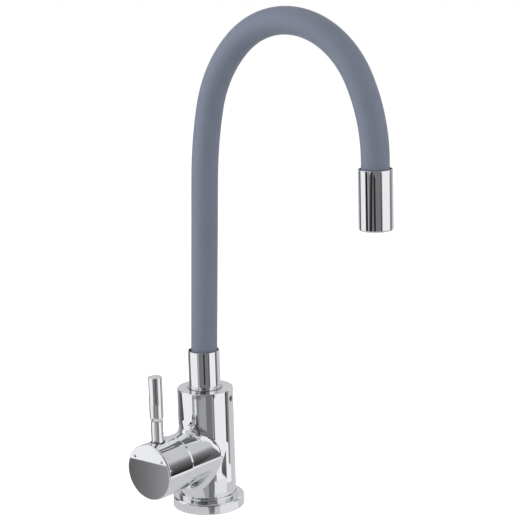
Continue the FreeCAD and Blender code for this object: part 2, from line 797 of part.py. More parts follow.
def make_dome():
    """Spherical cover over the cartridge nut, centred on the lever's pivot."""
    inner = dome_radius - s.dome_wall
    skirt = s.nut_bore_radius - s.thread_gap
    skirt_inner = skirt - s.dome_skirt_wall
    skirt_foot = shoulder_top + s.fixed_gap + s.nut_height + s.fixed_gap
    outline = [
        (skirt_inner, skirt_foot),
        (skirt, skirt_foot),
        (skirt, s.boss_length),
        (s.boss_radius - s.body_edge, s.boss_length),
        (leg(dome_radius, s.pivot_sink + s.face_gap), s.boss_length + s.face_gap),
        Bend(0, pivot_depth, dome_radius, 1),
        (s.dome_opening, pivot_depth + leg(dome_radius, s.dome_opening)),
        (s.dome_opening, pivot_depth + leg(inner, s.dome_opening)),
        Bend(0, pivot_depth, inner, -1),
        (skirt_inner, pivot_depth + leg(inner, skirt_inner)),
    ]
    keep("trim_dome", on_cartridge(turned("trim_dome", outline)))


def make_cap():
    hollow_radius = dome_radius + s.dome_gap
    rear_reach = s.pivot_sink + s.seam
    hub_root = pivot_depth + leg(hollow_radius, s.hub_radius)
    blank = turned(
        "cap_turning",
        [
            (leg(hollow_radius, rear_reach), cap_rear),
            (cap_radius, cap_rear),
            (cap_radius, cap_face - s.cap_edge),
            (cap_radius - s.cap_edge, cap_face),
            (0, cap_face),
            (0, pivot_depth + s.hub_reach),
            (s.hub_radius, pivot_depth + s.hub_reach),
            (s.hub_radius, hub_root),
            Bend(0, pivot_depth, hollow_radius, -1),
        ],
    )
    socket = block(
        "spindle_socket",
        s.spindle_width + s.running_gap * 2,
        s.spindle_height + s.running_gap * 2,
        s.spindle_tip - s.hub_reach + s.face_gap + MARGIN,
        z=pivot_depth + s.hub_reach - MARGIN,
    )
    pin_floor = s.pin_seat - s.pin_thread_length - s.face_gap
    pin_hole = cylinder(
        "pin_hole",
        s.pin_thread_radius + s.thread_gap,
        cap_radius - pin_floor,
        y=pin_floor,
        z=pin_depth,
        rotation=ALONG_Y,
    )
    pin_recess = cylinder(
        "pin_recess",
        s.pin_radius + s.washer_wall + s.running_gap * 2,
        cap_radius - s.pin_seat + MARGIN,
        y=s.pin_seat,
        z=pin_depth,
        rotation=ALONG_Y,
    )
    grub_hole = cylinder(
        "grub_hole",
        s.grub_radius,
        cap_radius,
        z=cap_face - s.grub_from_face,
        rotation=ALONG_MINUS_Y,
    )
    marks = []
    for name, side in (("cold_mark", -1), ("hot_mark", 1)):
        spot = (s.mark_side * side, s.mark_rise, cap_face - s.mark_depth)
        marks.append(
            cylinder(name + "_hole", s.mark_radius + s.running_gap, s.mark_depth + MARGIN, *spot)
        )
        disc = cylinder(name + "_disc", s.mark_radius, s.mark_depth, *spot)
        keep(name, on_cartridge(group(name, disc)))
    tools = [socket, pin_hole, pin_recess, grub_hole, *marks]
    keep("handle_cap", on_cartridge(cut("handle_cap", blank, *tools)))

    head = s.spindle_height / 2 + s.running_gap + s.grub_length
    screw = cylinder(
        "grub_bar",
        s.grub_radius - s.running_gap,
        s.grub_length,
        y=-(s.spindle_height / 2 + s.running_gap),
        z=cap_face - s.grub_from_face,
        rotation=ALONG_MINUS_Y,
    )
    key = hexagon_bar(
        "grub_key",
        s.hex_key_radius,
        s.grub_length / 2,
        y=-(head - s.grub_length / 2 + s.running_gap),
        z=cap_face - s.grub_from_face,
        rotation=ALONG_MINUS_Y,
    )
    keep("handle_grub_screw", on_cartridge(cut("handle_grub_screw", screw, key)))


def on_pin(thing):
    """Frame of the pin lever: its Z axis stands up from the cap's axis."""
    return place(thing, y=-pin_depth, z=s.boss_height)


def make_pin():
    thread_foot = s.pin_seat - s.pin_thread_length
    spigot_top = s.grip_top - s.pin_thread_radius
    stem = turned(
        "lever_stem",
        [
            (0, thread_foot),
            (s.pin_thread_radius, thread_foot),
            (s.pin_thread_radius, s.pin_seat),
            (s.pin_radius, s.pin_seat),
            (s.pin_radius, s.pin_step - s.pin_groove),
            (s.pin_thread_radius, s.pin_step - s.pin_groove),
            (s.pin_thread_radius, spigot_top),
            (0, spigot_top),
        ],
    )
    keep("lever_stem", on_pin(stem))
    bore = s.pin_thread_radius + s.running_gap
    grip = turned(
        "lever_grip",
        [
            (bore, s.pin_step),
            (s.pin_radius, s.pin_step),
            (s.grip_radius, s.pin_step + s.grip_bevel),
            (s.grip_radius, s.grip_top - s.grip_edge),
            Bend(s.grip_radius - s.grip_edge, s.grip_top - s.grip_edge, s.grip_edge, 1),
            (s.grip_radius - s.grip_edge, s.grip_top),
            (0, s.grip_top),
            (0, spigot_top + s.face_gap),
            (bore, spigot_top + s.face_gap),
        ],
    )
    keep("lever_grip", on_pin(grip))
    inner = s.pin_radius + s.running_gap
    washer = turned(
        "lever_washer",
        [
            (inner, s.pin_seat),
            (s.pin_radius + s.washer_wall, s.pin_seat),
            (s.pin_radius + s.washer_wall, s.pin_seat + s.washer_thickness),
            (inner, s.pin_seat + s.washer_thickness),
        ],
    )
    keep("lever_washer", on_pin(washer))


def make_nipple():
    foot = nipple_foot + s.face_gap
    seal_centre = s.nipple_radius - s.nipple_seal_cord
    seal_floor = seal_centre - s.nipple_seal_cord - s.running_gap
    half_seal = s.nipple_seal_cord + s.groove_slack
    glide_floor = s.nipple_radius - s.glide_ring_depth
    retainer = s.body_top - s.set_screw_drop
    seal_low = s.body_top - s.nipple_seal_drop
    seal_heights = (seal_low, seal_low + s.nipple_seal_step)
    outline = [(s.nipple_bore, foot), (s.nipple_radius, foot)]
    for height in seal_heights:
        outline += notch(s.nipple_radius, seal_floor, height - half_seal, height + half_seal)
    glide_low = s.body_top - s.glide_ring_drop
    glide_top = glide_low + s.glide_ring_height
    outline += notch(s.nipple_radius, glide_floor, glide_low, glide_top)
    outline += notch(
        s.nipple_radius,
        s.nipple_radius - s.retainer_depth,
        retainer - s.retainer_width / 2,
        retainer + s.retainer_width / 2,
    )
    outline += [
        (s.nipple_radius, flange_foot),
        (flange_radius, flange_foot),
        (flange_radius, flange_top),
        (ferrule_bore - s.thread_gap, flange_top),
        (ferrule_bore - s.thread_gap, spigot_top),
        (barb_radius, spigot_top),
        (barb_radius, spigot_top + s.barb_length),
        (s.barb_bore, spigot_top + s.barb_length),
        (s.barb_bore, flange_foot),
        (s.nipple_bore, flange_foot),
    ]
    keep("swivel_nipple", turned("swivel_nipple", outline))
    rings = [
        seal_ring(f"nipple_o_ring_{number}", seal_centre, s.nipple_seal_cord, z=height)
        for number, height in enumerate(seal_heights, start=1)
    ]
    keep("nipple_o_rings", group("nipple_o_rings", *rings))
    inner = glide_floor + s.running_gap
    foot = glide_low + s.running_gap
    top = glide_top - s.running_gap
    ring = [(inner, foot), (s.nipple_radius, foot), (s.nipple_radius, top), (inner, top)]
    keep("nipple_glide_ring", turned("nipple_glide_ring", ring))
    inner = s.nipple_radius + s.face_gap
    outer = flange_radius - s.running_gap
    washer = [
        (inner, recess_floor),
        (outer, recess_floor),
        (outer, flange_foot),
        (inner, flange_foot),
    ]
    keep("swivel_washer", turned("swivel_washer", washer))


def notch(outer, inner, low, high):
    """Four corners of a groove in a shaft, from below."""
    return [(outer, low), (inner, low), (inner, high), (outer, high)]


def make_set_screw():
    tip = s.nipple_radius - s.retainer_depth + s.free_gap
    head = s.body_radius - s.set_screw_sink
    shank = s.nipple_radius + s.running_gap + s.face_gap
    tip_radius = s.retainer_width / 2 - s.free_gap
    screw = turned(
        "screw_turning",
        [
            (0, tip),
            (tip_radius, tip),
            (tip_radius, shank),
            (s.set_screw_radius - s.running_gap, shank),
            (s.set_screw_radius - s.running_gap, head),
            (0, head),
        ],
    )
    key_foot = head - s.set_screw_key
    key = hexagon_bar("screw_key", s.hex_key_radius, s.set_screw_key + MARGIN, z=key_foot)
    screw = cut("spout_set_screw", screw, key)
    place(screw, z=s.body_top - s.set_screw_drop, rotation=set_screw_rotation)
    keep("spout_set_screw", screw)


def make_lower_ferrule():
    top = flange_top + s.lower_ferrule_length
    outline = [
        (ferrule_bore, flange_top),
        (ferrule_radius, flange_top),
        (ferrule_radius, top - s.ferrule_rim),
        (ferrule_radius - s.ferrule_rim, top),
        (ferrule_bore, top),
    ]
    keep("lower_ferrule", turned("lower_ferrule", outline))


def make_outlet():
    """Ferrule, fitting and aerator, in a frame on the ferrule's lower edge."""
    top = s.outlet_ferrule_length
    thread = s.aerator_radius + s.thread_gap
    step = s.aerator_inset + s.aerator_height + s.aerator_gasket
    ferrule = [
        (thread, 0),
        (ferrule_radius - s.outlet_edge, 0),
        Bend(ferrule_radius - s.outlet_edge, s.outlet_edge, s.outlet_edge, 1),
        (ferrule_radius, s.outlet_edge),
        (ferrule_radius, top - s.ferrule_rim),
        (ferrule_radius - s.ferrule_rim, top),
        (ferrule_bore, top),
        (ferrule_bore, step),
        (thread, step),
    ]
    keep("outlet_ferrule", at_outlet(turned("outlet_ferrule", ferrule)))

    radius = ferrule_bore - s.thread_gap
    middle = fitting_foot + s.outlet_fitting_height / 2
    half = s.outlet_seal_cord + s.groove_slack
    centre = ferrule_bore - s.running_gap - s.outlet_seal_cord
    floor = centre - s.outlet_seal_cord - s.running_gap
    bowl = fitting_foot + s.outlet_bowl_depth
    fitting = [
        (s.outlet_bowl_radius, fitting_foot),
        (radius, fitting_foot),
        *notch(radius, floor, middle - half, middle + half),
        (radius, fitting_top),
        (barb_radius, fitting_top),
        (barb_radius, fitting_top + s.barb_length),
        (s.barb_bore, fitting_top + s.barb_length),
        (s.barb_bore, bowl + s.outlet_cone_height),
        (s.outlet_bowl_radius, bowl),
    ]
    keep("outlet_fitting", at_outlet(turned("outlet_fitting", fitting)))
    ring = seal_ring("outlet_cord", centre, s.outlet_seal_cord, z=middle)
    keep("outlet_o_ring", at_outlet(group("outlet_o_ring", ring)))

    foot = s.aerator_inset
    head = foot + s.aerator_height
    bore = s.aerator_radius - s.aerator_wall
    ledge = foot + s.aerator_lip_height
    housing = [
        (bore - s.aerator_lip, foot),
        (s.aerator_radius - s.ferrule_rim, foot),
        (s.aerator_radius, foot + s.ferrule_rim),
        (s.aerator_radius, head),
        (bore, head),
        (bore, ledge),
        (bore - s.aerator_lip, ledge),
    ]
    keep("aerator_housing", at_outlet(turned("aerator_housing", housing)))

    insert_radius = bore - s.running_gap * 2
    blank = cylinder("insert_blank", insert_radius, s.insert_height, z=ledge)
    jets = [cylinder("jet_middle", s.insert_hole, s.insert_height + MARGIN * 2, z=ledge - MARGIN)]
    for ring in range(1, JET_RING_COUNT + 1):
        count = FIRST_RING_JET_COUNT * ring
        for step in range(count):
            angle = math.radians(FULL_TURN * step / count)
            spot = s.insert_ring * ring
            jets.append(
                cylinder(
                    f"jet_{ring}_{step}",
                    s.insert_hole,
                    s.insert_height + MARGIN * 2,
                    x=spot * math.cos(angle),
                    y=spot * math.sin(angle),
                    z=ledge - MARGIN,
                )
            )
    keep("aerator_insert", at_outlet(cut("aerator_insert", blank, *jets)))

    screen_foot = ledge + s.insert_height
    screen = cylinder("screen_disc", insert_radius, s.screen_thickness, z=screen_foot)
    keep("aerator_screen", at_outlet(group("aerator_screen", screen)))
    outer = s.aerator_radius - s.running_gap
    gasket = [
        (bore - s.aerator_lip, head),
        (outer, head),
        (outer, head + s.aerator_gasket),
        (bore - s.aerator_lip, head + s.aerator_gasket),
    ]
    keep("aerator_gasket", at_outlet(turned("aerator_gasket", gasket)))


def at_outlet(thing):
    """Frame on the lower edge of the outlet ferrule, where the hose's route ends."""
    thing.Placement = Placement(outlet_foot, UPRIGHT)
    return thing


class Route:
    """The hose's centreline: straight runs joined by tangent arcs in the XZ plane."""

    def __init__(self, x, z):
        self.point = Vector(x, 0, z)
        self.angle = 0.0
        self.edges = []
        self.length = 0.0

    def heading(self):
        """Unit vector along the route; its angle runs from straight up to the outlet's side."""
        return Vector(math.sin(self.angle), 0, math.cos(self.angle))

    def run(self, length):
        end = self.point + self.heading() * length
        self.edges.append(Part.LineSegment(self.point, end).toShape())
        self.point = end
        self.length += length

    def bend(self, radius, degrees):
        side = Vector(math.cos(self.angle), 0, -math.sin(self.angle))
        centre = self.point + side * radius
        turn = math.radians(degrees)
        spots = [
            centre - Vector(math.cos(angle), 0, -math.sin(angle)) * radius
            for angle in (self.angle + turn / 2, self.angle + turn)
        ]
        self.edges.append(Part.Arc(self.point, *spots).toShape())
        self.point = spots[1]
        self.angle += turn
        self.length += radius * turn


def lower_route(start_run):
    """Route from the hose's lower end to the crown, where it runs level."""
    route = Route(0, (spigot_top + s.face_gap + start_run).number)
    route.run((s.lower_straight + barb_reach - start_run).number)
    route.bend(s.ease_radius.number, s.ease_angle.number)
    route.run(s.riser_straight.number)
    route.bend(s.bend_one_radius.number, s.bend_one_angle.number)
    route.bend(s.bend_two_radius.number, s.bend_two_angle.number)
    route.bend(s.crown_radius.number, LEVEL_HEADING - math.degrees(route.angle))
    return route


def upper_route(end_run):
    """Route from the crown down to the hose's upper end."""
    start = lower_route(as_size(0))
    spent = s.ease_angle + s.bend_one_angle + s.bend_two_angle
    route = Route(start.point.x, start.point.z)
    route.angle = math.radians(LEVEL_HEADING)
    route.bend(s.crown_radius.number, (spent + s.crown_angle).number - LEVEL_HEADING)
    route.bend(s.fall_radius.number, DOWN_HEADING - math.degrees(route.angle))
    route.run((s.outlet_straight + barb_reach - end_run).number)
    return route


def rod(route, radius):
    """Solid bar of a given radius along a route."""
    first = route.edges[0]
    start = first.Vertexes[0].Point
    profile = Part.Wire(Part.makeCircle(radius, start, first.tangentAt(first.FirstParameter)))
    shell = Part.BRepOffsetAPI.MakePipeShell(Part.Wire(route.edges))
    shell.add(profile)
    shell.build()
    shell.makeSolid()
    return shell.shape()


def hose_layer(route, outer, inner):
    """Tube along a route, its volume held against its section times its length."""
    tube = rod(route, outer.number).cut(rod(route, inner.number))
    section = math.pi * (outer.number**2 - inner.number**2)
    expected = section * route.length
    if abs(tube.Volume / expected - 1) > VOLUME_TOLERANCE:
        raise RuntimeError(f"tube volume {tube.Volume:.1f}, expected {expected:.1f}")
    return tube


def make_hose():
    """Three layers, each in two halves that a ball cut at the crown lets turn."""
    sleeve_bore = s.sleeve_radius - s.sleeve_wall
    core_radius = sleeve_bore - s.layer_gap
    layers = [
        ("hose_sleeve", s.sleeve_radius, sleeve_bore, as_size(0)),
        ("hose_core", core_radius, core_radius - s.core_wall, barb_reach),
        ("hose_tube", s.tube_radius, tube_bore, as_size(0)),
    ]
    socket = Part.makeSphere((s.sleeve_radius + s.crown_gap).number, crown)
    for name, outer, inner, shortened in layers:
        below = hose_layer(lower_route(shortened), outer, inner)
        if name == "hose_sleeve":
            below = below.fuse(ball_nose(outer.number, inner.number)).removeSplitter()
        above = hose_layer(upper_route(shortened), outer, inner).cut(socket)
        for half, shape in (("lower", below), ("upper", above)):
            piece = doc.addObject("Part::Feature", f"{name}_{half}")
            piece.Shape = shape
            keep(f"{name}_{half}", piece)
    crimp_bore = s.tube_radius + s.thread_gap
    low = spigot_top + s.free_gap
    high = spigot_top + s.barb_length - s.face_gap
    keep("lower_crimp", turned("lower_crimp", crimp_outline(crimp_bore, low, high)))
    low = fitting_top + s.free_gap
    high = fitting_top + s.barb_length - s.face_gap
    crimp = turned("outlet_crimp", crimp_outline(crimp_bore, low, high))
    keep("outlet_crimp", at_outlet(crimp))


def ball_nose(outer, inner):
    """Half of a hollow ball that ends the lower sleeve, open for the water way."""
    half = Part.makeBox(outer * 2, outer * 2, outer * 2, crown - Vector(0, outer, outer))
    way = Part.makeCylinder(s.nose_opening.number, outer * 2, crown, Vector(1, 0, 0))
    shell = Part.makeSphere(outer, crown).cut(Part.makeSphere(inner, crown))
    return shell.common(half).cut(way)


def crimp_outline(bore, low, high):
    outer = bore + s.crimp_wall
    return [(bore, low), (outer, low), (outer, high), (bore, high)]


def cosine(angle):
    return Size(math.cos(math.radians(angle.number)), f"cos({angle.text} * 1 deg)")


def sine(angle):
    return Size(math.sin(math.radians(angle.number)), f"sin({angle.text} * 1 deg)")


def tangent(angle):
    return Size(math.tan(math.radians(angle.number)), f"tan({angle.text} * 1 deg)")


def check_document():
    """Stop if any object failed or any piece's shape is empty or invalid."""
    for thing in doc.Objects:
        if {"Invalid", "Error"} & set(thing.State):
            raise RuntimeError(f"{thing.Label} failed: {thing.State}")
    for label, piece in pieces.items():
        if piece.Label != label:
            raise RuntimeError(f"{label} was renamed {piece.Label}")
        if piece.Shape.isNull() or not piece.Shape.isValid() or not piece.Shape.Solids:
            raise RuntimeError(f"{label} has no valid solid")


def write_pieces():
    """One STEP file for each piece, named after its label."""
    os.makedirs(PARTS_FOLDER, exist_ok=True)
    for label, piece in pieces.items():
        piece.Shape.exportStep(os.path.join(PARTS_FOLDER, f"{label}.step"))


doc = FreeCAD.newDocument("mixer_tap")
pieces = {}
s = fill_sheet()

# Stations along the cartridge's axis, from the column's axis
seat_depth = s.boss_length - s.seat_sink
pivot_depth = s.boss_length - s.pivot_sink
disc_seat = seat_depth + s.face_gap + s.base_flange + s.base_plug
coupler_top = disc_seat + s.fixed_disc_thickness + s.moving_disc_thickness + s.coupler_thickness
neck_top = coupler_top + s.face_gap + s.carrier_flange + s.neck_length
shoulder_top = coupler_top + s.free_gap + s.carrier_flange + s.shoulder
dome_radius = root(s.pivot_sink * s.pivot_sink + s.boss_radius * s.boss_radius)
cap_radius = dome_radius + s.dome_gap + s.cap_lip
cap_rear = s.boss_length + s.seam
cap_face = cap_rear + s.cap_length
pin_depth = cap_face - s.pin_from_face
closed_drop = s.arm_length * sine(s.lever_travel / 2)
mixed_height = s.boss_height - s.port_drop

# Stations on the swivel and the hose's ends
nipple_foot = s.body_top - s.nipple_depth
tube_bore = s.tube_radius - s.tube_wall
barb_radius = tube_bore - s.thread_gap
barb_reach = s.barb_length + s.face_gap
ferrule_bore = s.sleeve_radius + s.ferrule_gap
ferrule_radius = ferrule_bore + s.ferrule_wall
flange_radius = ferrule_radius + s.flange_lip
flange_top = s.body_top + s.flange_rise
flange_foot = flange_top - s.flange_thickness
recess_floor = flange_foot - s.swivel_washer
spigot_top = flange_top + s.fitting_height
fitting_foot = s.aerator_inset + s.aerator_height + s.aerator_gasket + s.running_gap
fitting_top = fitting_foot + s.outlet_fitting_height
set_screw_rotation = Rotation(Vector(0, 0, 1), s.set_screw_angle.number) * ALONG_X
hose_end = upper_route(as_size(0)).point
crown = lower_route(as_size(0)).point
outlet_foot = hose_end - Vector(0, 0, (fitting_top + s.face_gap).number)

make_base_ring()
make_body()
make_cartridge()
make_moving_disc()
make_carrier()
make_spindle()
make_dome()
make_cap()
make_pin()
make_nipple()
make_set_screw()
make_lower_ferrule()
make_outlet()
make_hose()
doc.recompute()
check_document()
write_pieces()
print(f"{len(pieces)} pieces, crown {crown}, outlet {outlet_foot}")
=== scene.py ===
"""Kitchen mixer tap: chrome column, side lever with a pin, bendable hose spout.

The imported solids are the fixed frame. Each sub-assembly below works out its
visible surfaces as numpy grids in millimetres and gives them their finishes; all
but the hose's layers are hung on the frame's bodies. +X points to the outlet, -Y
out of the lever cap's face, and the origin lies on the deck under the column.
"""

import json
import logging
import math
from dataclasses import dataclass, field
from enum import Enum

import bpy
import numpy as np
from mathutils import Matrix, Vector
from numpy.typing import NDArray

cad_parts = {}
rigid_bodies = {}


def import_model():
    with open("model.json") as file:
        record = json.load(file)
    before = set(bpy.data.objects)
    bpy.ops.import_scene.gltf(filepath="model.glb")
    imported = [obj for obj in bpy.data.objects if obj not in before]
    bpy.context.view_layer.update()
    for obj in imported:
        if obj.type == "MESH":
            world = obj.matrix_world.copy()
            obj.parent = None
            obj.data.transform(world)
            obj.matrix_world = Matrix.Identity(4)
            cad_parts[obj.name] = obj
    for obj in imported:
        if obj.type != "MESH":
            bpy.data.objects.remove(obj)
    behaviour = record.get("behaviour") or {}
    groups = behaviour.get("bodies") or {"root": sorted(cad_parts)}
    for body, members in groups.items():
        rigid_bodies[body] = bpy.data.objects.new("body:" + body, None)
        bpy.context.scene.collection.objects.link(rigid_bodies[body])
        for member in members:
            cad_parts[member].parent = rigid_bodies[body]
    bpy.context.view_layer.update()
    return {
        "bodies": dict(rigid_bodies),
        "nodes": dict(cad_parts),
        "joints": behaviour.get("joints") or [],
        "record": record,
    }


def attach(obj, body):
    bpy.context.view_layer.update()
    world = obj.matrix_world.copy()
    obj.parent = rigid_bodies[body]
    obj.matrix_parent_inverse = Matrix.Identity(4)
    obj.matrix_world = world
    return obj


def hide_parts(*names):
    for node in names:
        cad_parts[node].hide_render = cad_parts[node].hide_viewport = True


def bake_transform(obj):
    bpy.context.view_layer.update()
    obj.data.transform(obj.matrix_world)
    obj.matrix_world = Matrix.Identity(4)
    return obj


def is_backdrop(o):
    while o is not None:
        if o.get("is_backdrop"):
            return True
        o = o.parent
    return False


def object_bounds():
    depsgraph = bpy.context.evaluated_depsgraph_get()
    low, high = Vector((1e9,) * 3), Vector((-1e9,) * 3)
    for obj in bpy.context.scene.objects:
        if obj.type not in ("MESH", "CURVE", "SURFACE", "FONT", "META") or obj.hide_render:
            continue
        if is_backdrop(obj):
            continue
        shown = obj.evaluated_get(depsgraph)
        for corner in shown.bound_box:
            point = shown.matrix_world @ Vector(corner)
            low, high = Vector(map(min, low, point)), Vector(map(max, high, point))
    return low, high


Array = NDArray[np.float64]
LOG = logging.getLogger("mixer_tap")

METRES = 0.001
# Phase of Blender's wave texture for each unit of its scale
WAVE_RADIANS = 20
WELD_STEP = 1e-3
CIRCLE_STEPS = 240
ROUNDING_STEPS = 6
BOW_STEPS = 24
BOSS_BAND_STEPS = 20
BOSS_BAND_SIDE_STEPS = 30
FILLET_STEPS = 16
BOSS_WALL_STEPS = 6
SCREW_BAND_STEPS = 14
SCREW_BAND_SIDE_STEPS = 12
FOOT_STEPS = 6
SPOKE_STEPS = 15
CAP_WALL_STEPS = 12
CAP_SIDE_STEPS = 16
FACE_STEPS = 10
CHORD_STEPS = 40
LEAST_RUN_STEPS = 4
FLOOR_SIDES = 96
CARD_ROWS = 9
CARD_STEP_DEGREES = 3.0


class Body(Enum):
    """Bodies of the frame that pieces ride on."""

    FIXED = "fixed_body"
    LEVER = "lever"
    SPOUT = "spout"
    SPOUT_END = "spout_end"


class Slot(Enum):
    """Material slots of the record."""

    CHROME = "polished_chrome"
    BRASS = "brass"
    STEEL = "stainless"
    SILICONE = "slate_silicone"
    RUBBER = "black_rubber"
    CERAMIC = "ceramic"
    ACETAL = "white_plastic"
    WATER_TUBE = "water_tube"
    BLUE = "blue_enamel"
    RED = "red_enamel"


def display_tone(hex_colour: str) -> Array:
    """Red, green and blue of an sRGB hex colour, from 0 to 1."""
    return np.array([int(hex_colour[i : i + 2], 16) / 255 for i in (1, 3, 5)])


def linear(tone: str | Array) -> Array:
    """Turn sRGB tones to linear light.

    A tone v up to 0.04045 gives v / 12.92, a lighter one ((v + 0.055) / 1.055)
    to the power 2.4.

    Args:
        tone: Six hex digits after a hash, or an array of values from 0 to 1.

    Returns:
        Linear red, green and blue, and an alpha of 1, along the last axis.
    """
    shown = display_tone(tone) if isinstance(tone, str) else tone
    light = np.where(shown <= 0.04045, shown / 12.92, ((shown + 0.055) / 1.055) ** 2.4)
    return np.concatenate([light, np.ones((*light.shape[:-1], 1))], axis=-1)


def add_node(
    tree: bpy.types.NodeTree,
    kind: str,
    settings: dict[str | int, object] | None = None,
    links: dict[str | int, bpy.types.NodeSocket] | None = None,
) -> bpy.types.Node:
    """Add a node with its settings and links.

    Args:
        tree: Tree that the node joins.
        kind: Blender's name for the node's type, without its prefix.
        settings: Values by input name or number, or by the node's own property.
        links: Output sockets by the input that they feed.

    Returns:
        The new node.
    """
    node = tree.nodes.new("ShaderNode" + kind)
    for name, value in (settings or {}).items():
        if isinstance(name, str) and hasattr(node, name):
            setattr(node, name, value)
        else:
            node.inputs[name].default_value = value
    for name, socket in (links or {}).items():
        tree.links.new(socket, node.inputs[name])
    return node


def empty_tree(owner: bpy.types.Material | bpy.types.World) -> bpy.types.NodeTree:
    """Switch on the nodes of a material or world and clear them.

    Args:
        owner: Material or world.

    Returns:
        Its empty node tree.
    """
    owner.use_nodes = True
    owner.node_tree.nodes.clear()
    return owner.node_tree


@dataclass(frozen=True)
class Finish:
    """A material and how its surface was made.

    The colour drifts between two near tones over patches of `drift_mm`, the
    roughness between two values over patches of `haze_mm`. The bump is a grain
    of `grain_mm`, or turning rings `ring_mm` apart where that is given.
    """

    name: str
    slot: Slot
    colour: str
    second_colour: str
    roughness: tuple[float, float]
    metallic: float = 0.0
    ior: float = 1.5
    drift_mm: float = 8.0
    haze_mm: float = 3.0
    grain_mm: float = 1.0
    grain_height_mm: float = 0.0
    ring_mm: float = 0.0
    ring_wobble: float = 0.6
    sheen: float = 0.0
    sheen_roughness: float = 0.4
    coat: float = 0.0
    coat_roughness: float = 0.05
    drift_detail: float = 3.0
    haze_detail: float = 4.0
    grain_detail: float = 2.0
    noise_roughness: float = 0.55
    noise_span: tuple[float, float] = (0.3, 0.7)

    def material(self) -> bpy.types.Material:
        """Build the material once and hand out the same one after that.

        Returns:
            The material with this finish's name.
        """
        found = bpy.data.materials.get(self.name)
        if found:
            return found
        made = bpy.data.materials.new(self.name)
        tree = empty_tree(made)
        place = add_node(tree, "TexCoord").outputs["Object"]
        drift = self.noise(tree, place, self.drift_mm, self.drift_detail)
        haze = self.noise(tree, place, self.haze_mm, self.haze_detail)
        tint = add_node(
            tree,
            "Mix",
            {"data_type": "RGBA", 6: linear(self.colour), 7: linear(self.second_colour)},
            {0: drift},
        )
        rough = add_node(
            tree,
            "MapRange",
            {
                "From Min": self.noise_span[0],
                "From Max": self.noise_span[1],
                "To Min": self.roughness[0],
                "To Max": self.roughness[1],
            },
            {"Value": haze},
        )
        links = {"Base Color": tint.outputs[2], "Roughness": rough.outputs[0]}
        height = self.relief(tree, place)
        if height is not None:
            bump = add_node(
                tree,
                "Bump",
                {"Strength": 1.0, "Distance": self.grain_height_mm * METRES},
                {"Height": height},
            )
            links["Normal"] = bump.outputs[0]
        settings: dict[str | int, object] = {"Metallic": self.metallic}
        if not self.metallic:
            settings["IOR"] = self.ior
        if self.sheen:
            settings["Sheen Weight"] = self.sheen
            settings["Sheen Roughness"] = self.sheen_roughness
        if self.coat:
            settings["Coat Weight"] = self.coat
            settings["Coat Roughness"] = self.coat_roughness
        shader = add_node(tree, "BsdfPrincipled", settings, links)
        add_node(tree, "OutputMaterial", None, {"Surface": shader.outputs[0]})
        return made

    def noise(
        self, tree: bpy.types.NodeTree, place: bpy.types.NodeSocket, size_mm: float, detail: float
    ) -> bpy.types.NodeSocket:
        """Noise whose patches are about size_mm across."""
        settings = {"Scale": 1 / (size_mm * METRES), "Detail": detail, "Roughness": self.noise_roughness}
        return add_node(tree, "TexNoise", settings, {"Vector": place}).outputs[0]

    def relief(
        self, tree: bpy.types.NodeTree, place: bpy.types.NodeSocket
    ) -> bpy.types.NodeSocket | None:
        """Height pattern: turning rings if the finish has them, else a grain.

        Args:
            tree: Material's node tree.
            place: Object coordinates.

        Returns:
            Socket with the height, or None where the surface is left smooth.
        """
        if not self.grain_height_mm:
            return None
        if self.ring_mm:
            scale = 2 * math.pi / (WAVE_RADIANS * self.ring_mm * METRES)
            settings = {
                "wave_type": "BANDS",
                "bands_direction": "Z",
                "Scale": scale,
                "Distortion": self.ring_wobble,
            }
            return add_node(tree, "TexWave", settings, {"Vector": place}).outputs[1]
        return self.noise(tree, place, self.grain_mm, self.grain_detail)

    def dress(self, piece: bpy.types.Object) -> None:
        """Give the piece this finish in every one of its material slots."""
        piece.data.materials.clear()
        piece.data.materials.append(self.material())


# Bright nickel-chrome plate over polished brass: a mirror with slow, very
# shallow waves from the polishing wheel
CHROME = Finish(
    "polished_chrome_plate",
    Slot.CHROME,
    "#EBECEF",
    "#E6E7EB",
    (0.012, 0.028),
    metallic=1.0,
    drift_mm=30.0,
    haze_mm=14.0,
    grain_mm=16.0,
    grain_height_mm=0.008,
)
# Free-cutting brass as it leaves the lathe, with fine turning rings. Real ones
# are about 0.1 mm apart, too fine to show, so all rings here are drawn wider
BRASS = Finish(
    "turned_brass",
    Slot.BRASS,
    "#D9BE7C",
    "#CBAA62",
    (0.2, 0.32),
    metallic=1.0,
    grain_height_mm=0.01,
    ring_mm=0.45,
)
# Stainless steel from bar, fine turning rings and a grey, slightly dull shine
STEEL = Finish(
    "turned_stainless_steel",
    Slot.STEEL,
    "#C6C7C8",
    "#B4B5B7",
    (0.24, 0.36),
    metallic=1.0,
    drift_mm=6.0,
    haze_mm=2.5,
    grain_height_mm=0.008,
    ring_mm=0.4,
)
# Socket screw in stainless steel, darker and duller than the turned steel, so that it shows as a grey
# disc in its hole
SCREW_STEEL = Finish(
    "dull_dark_screw_steel",
    Slot.STEEL,
    "#ABACB0",
    "#9D9EA2",
    (0.42, 0.52),
    metallic=1.0,
    drift_mm=2.0,
    haze_mm=1.0,
    grain_height_mm=0.006,
    ring_mm=0.3,
)
# Extruded silicone rubber: matt, with a soft sheen and a very fine grain, which
# is drawn coarser than a real one so that it shows
SILICONE = Finish(
    "extruded_slate_silicone",
    Slot.SILICONE,
    "#737A89",
    "#6C7382",
    (0.5, 0.6),
    ior=1.41,
    drift_mm=26.0,
    haze_mm=7.0,
    grain_mm=0.5,
    grain_height_mm=0.012,
    sheen=0.12,
)
# Moulded nitrile rubber: near black, dull
RUBBER = Finish(
    "moulded_nitrile_rubber",
    Slot.RUBBER,
    "#202124",
    "#17181A",
    (0.45, 0.6),
    ior=1.52,
    drift_mm=5.0,
    grain_mm=0.4,
    grain_height_mm=0.01,
)
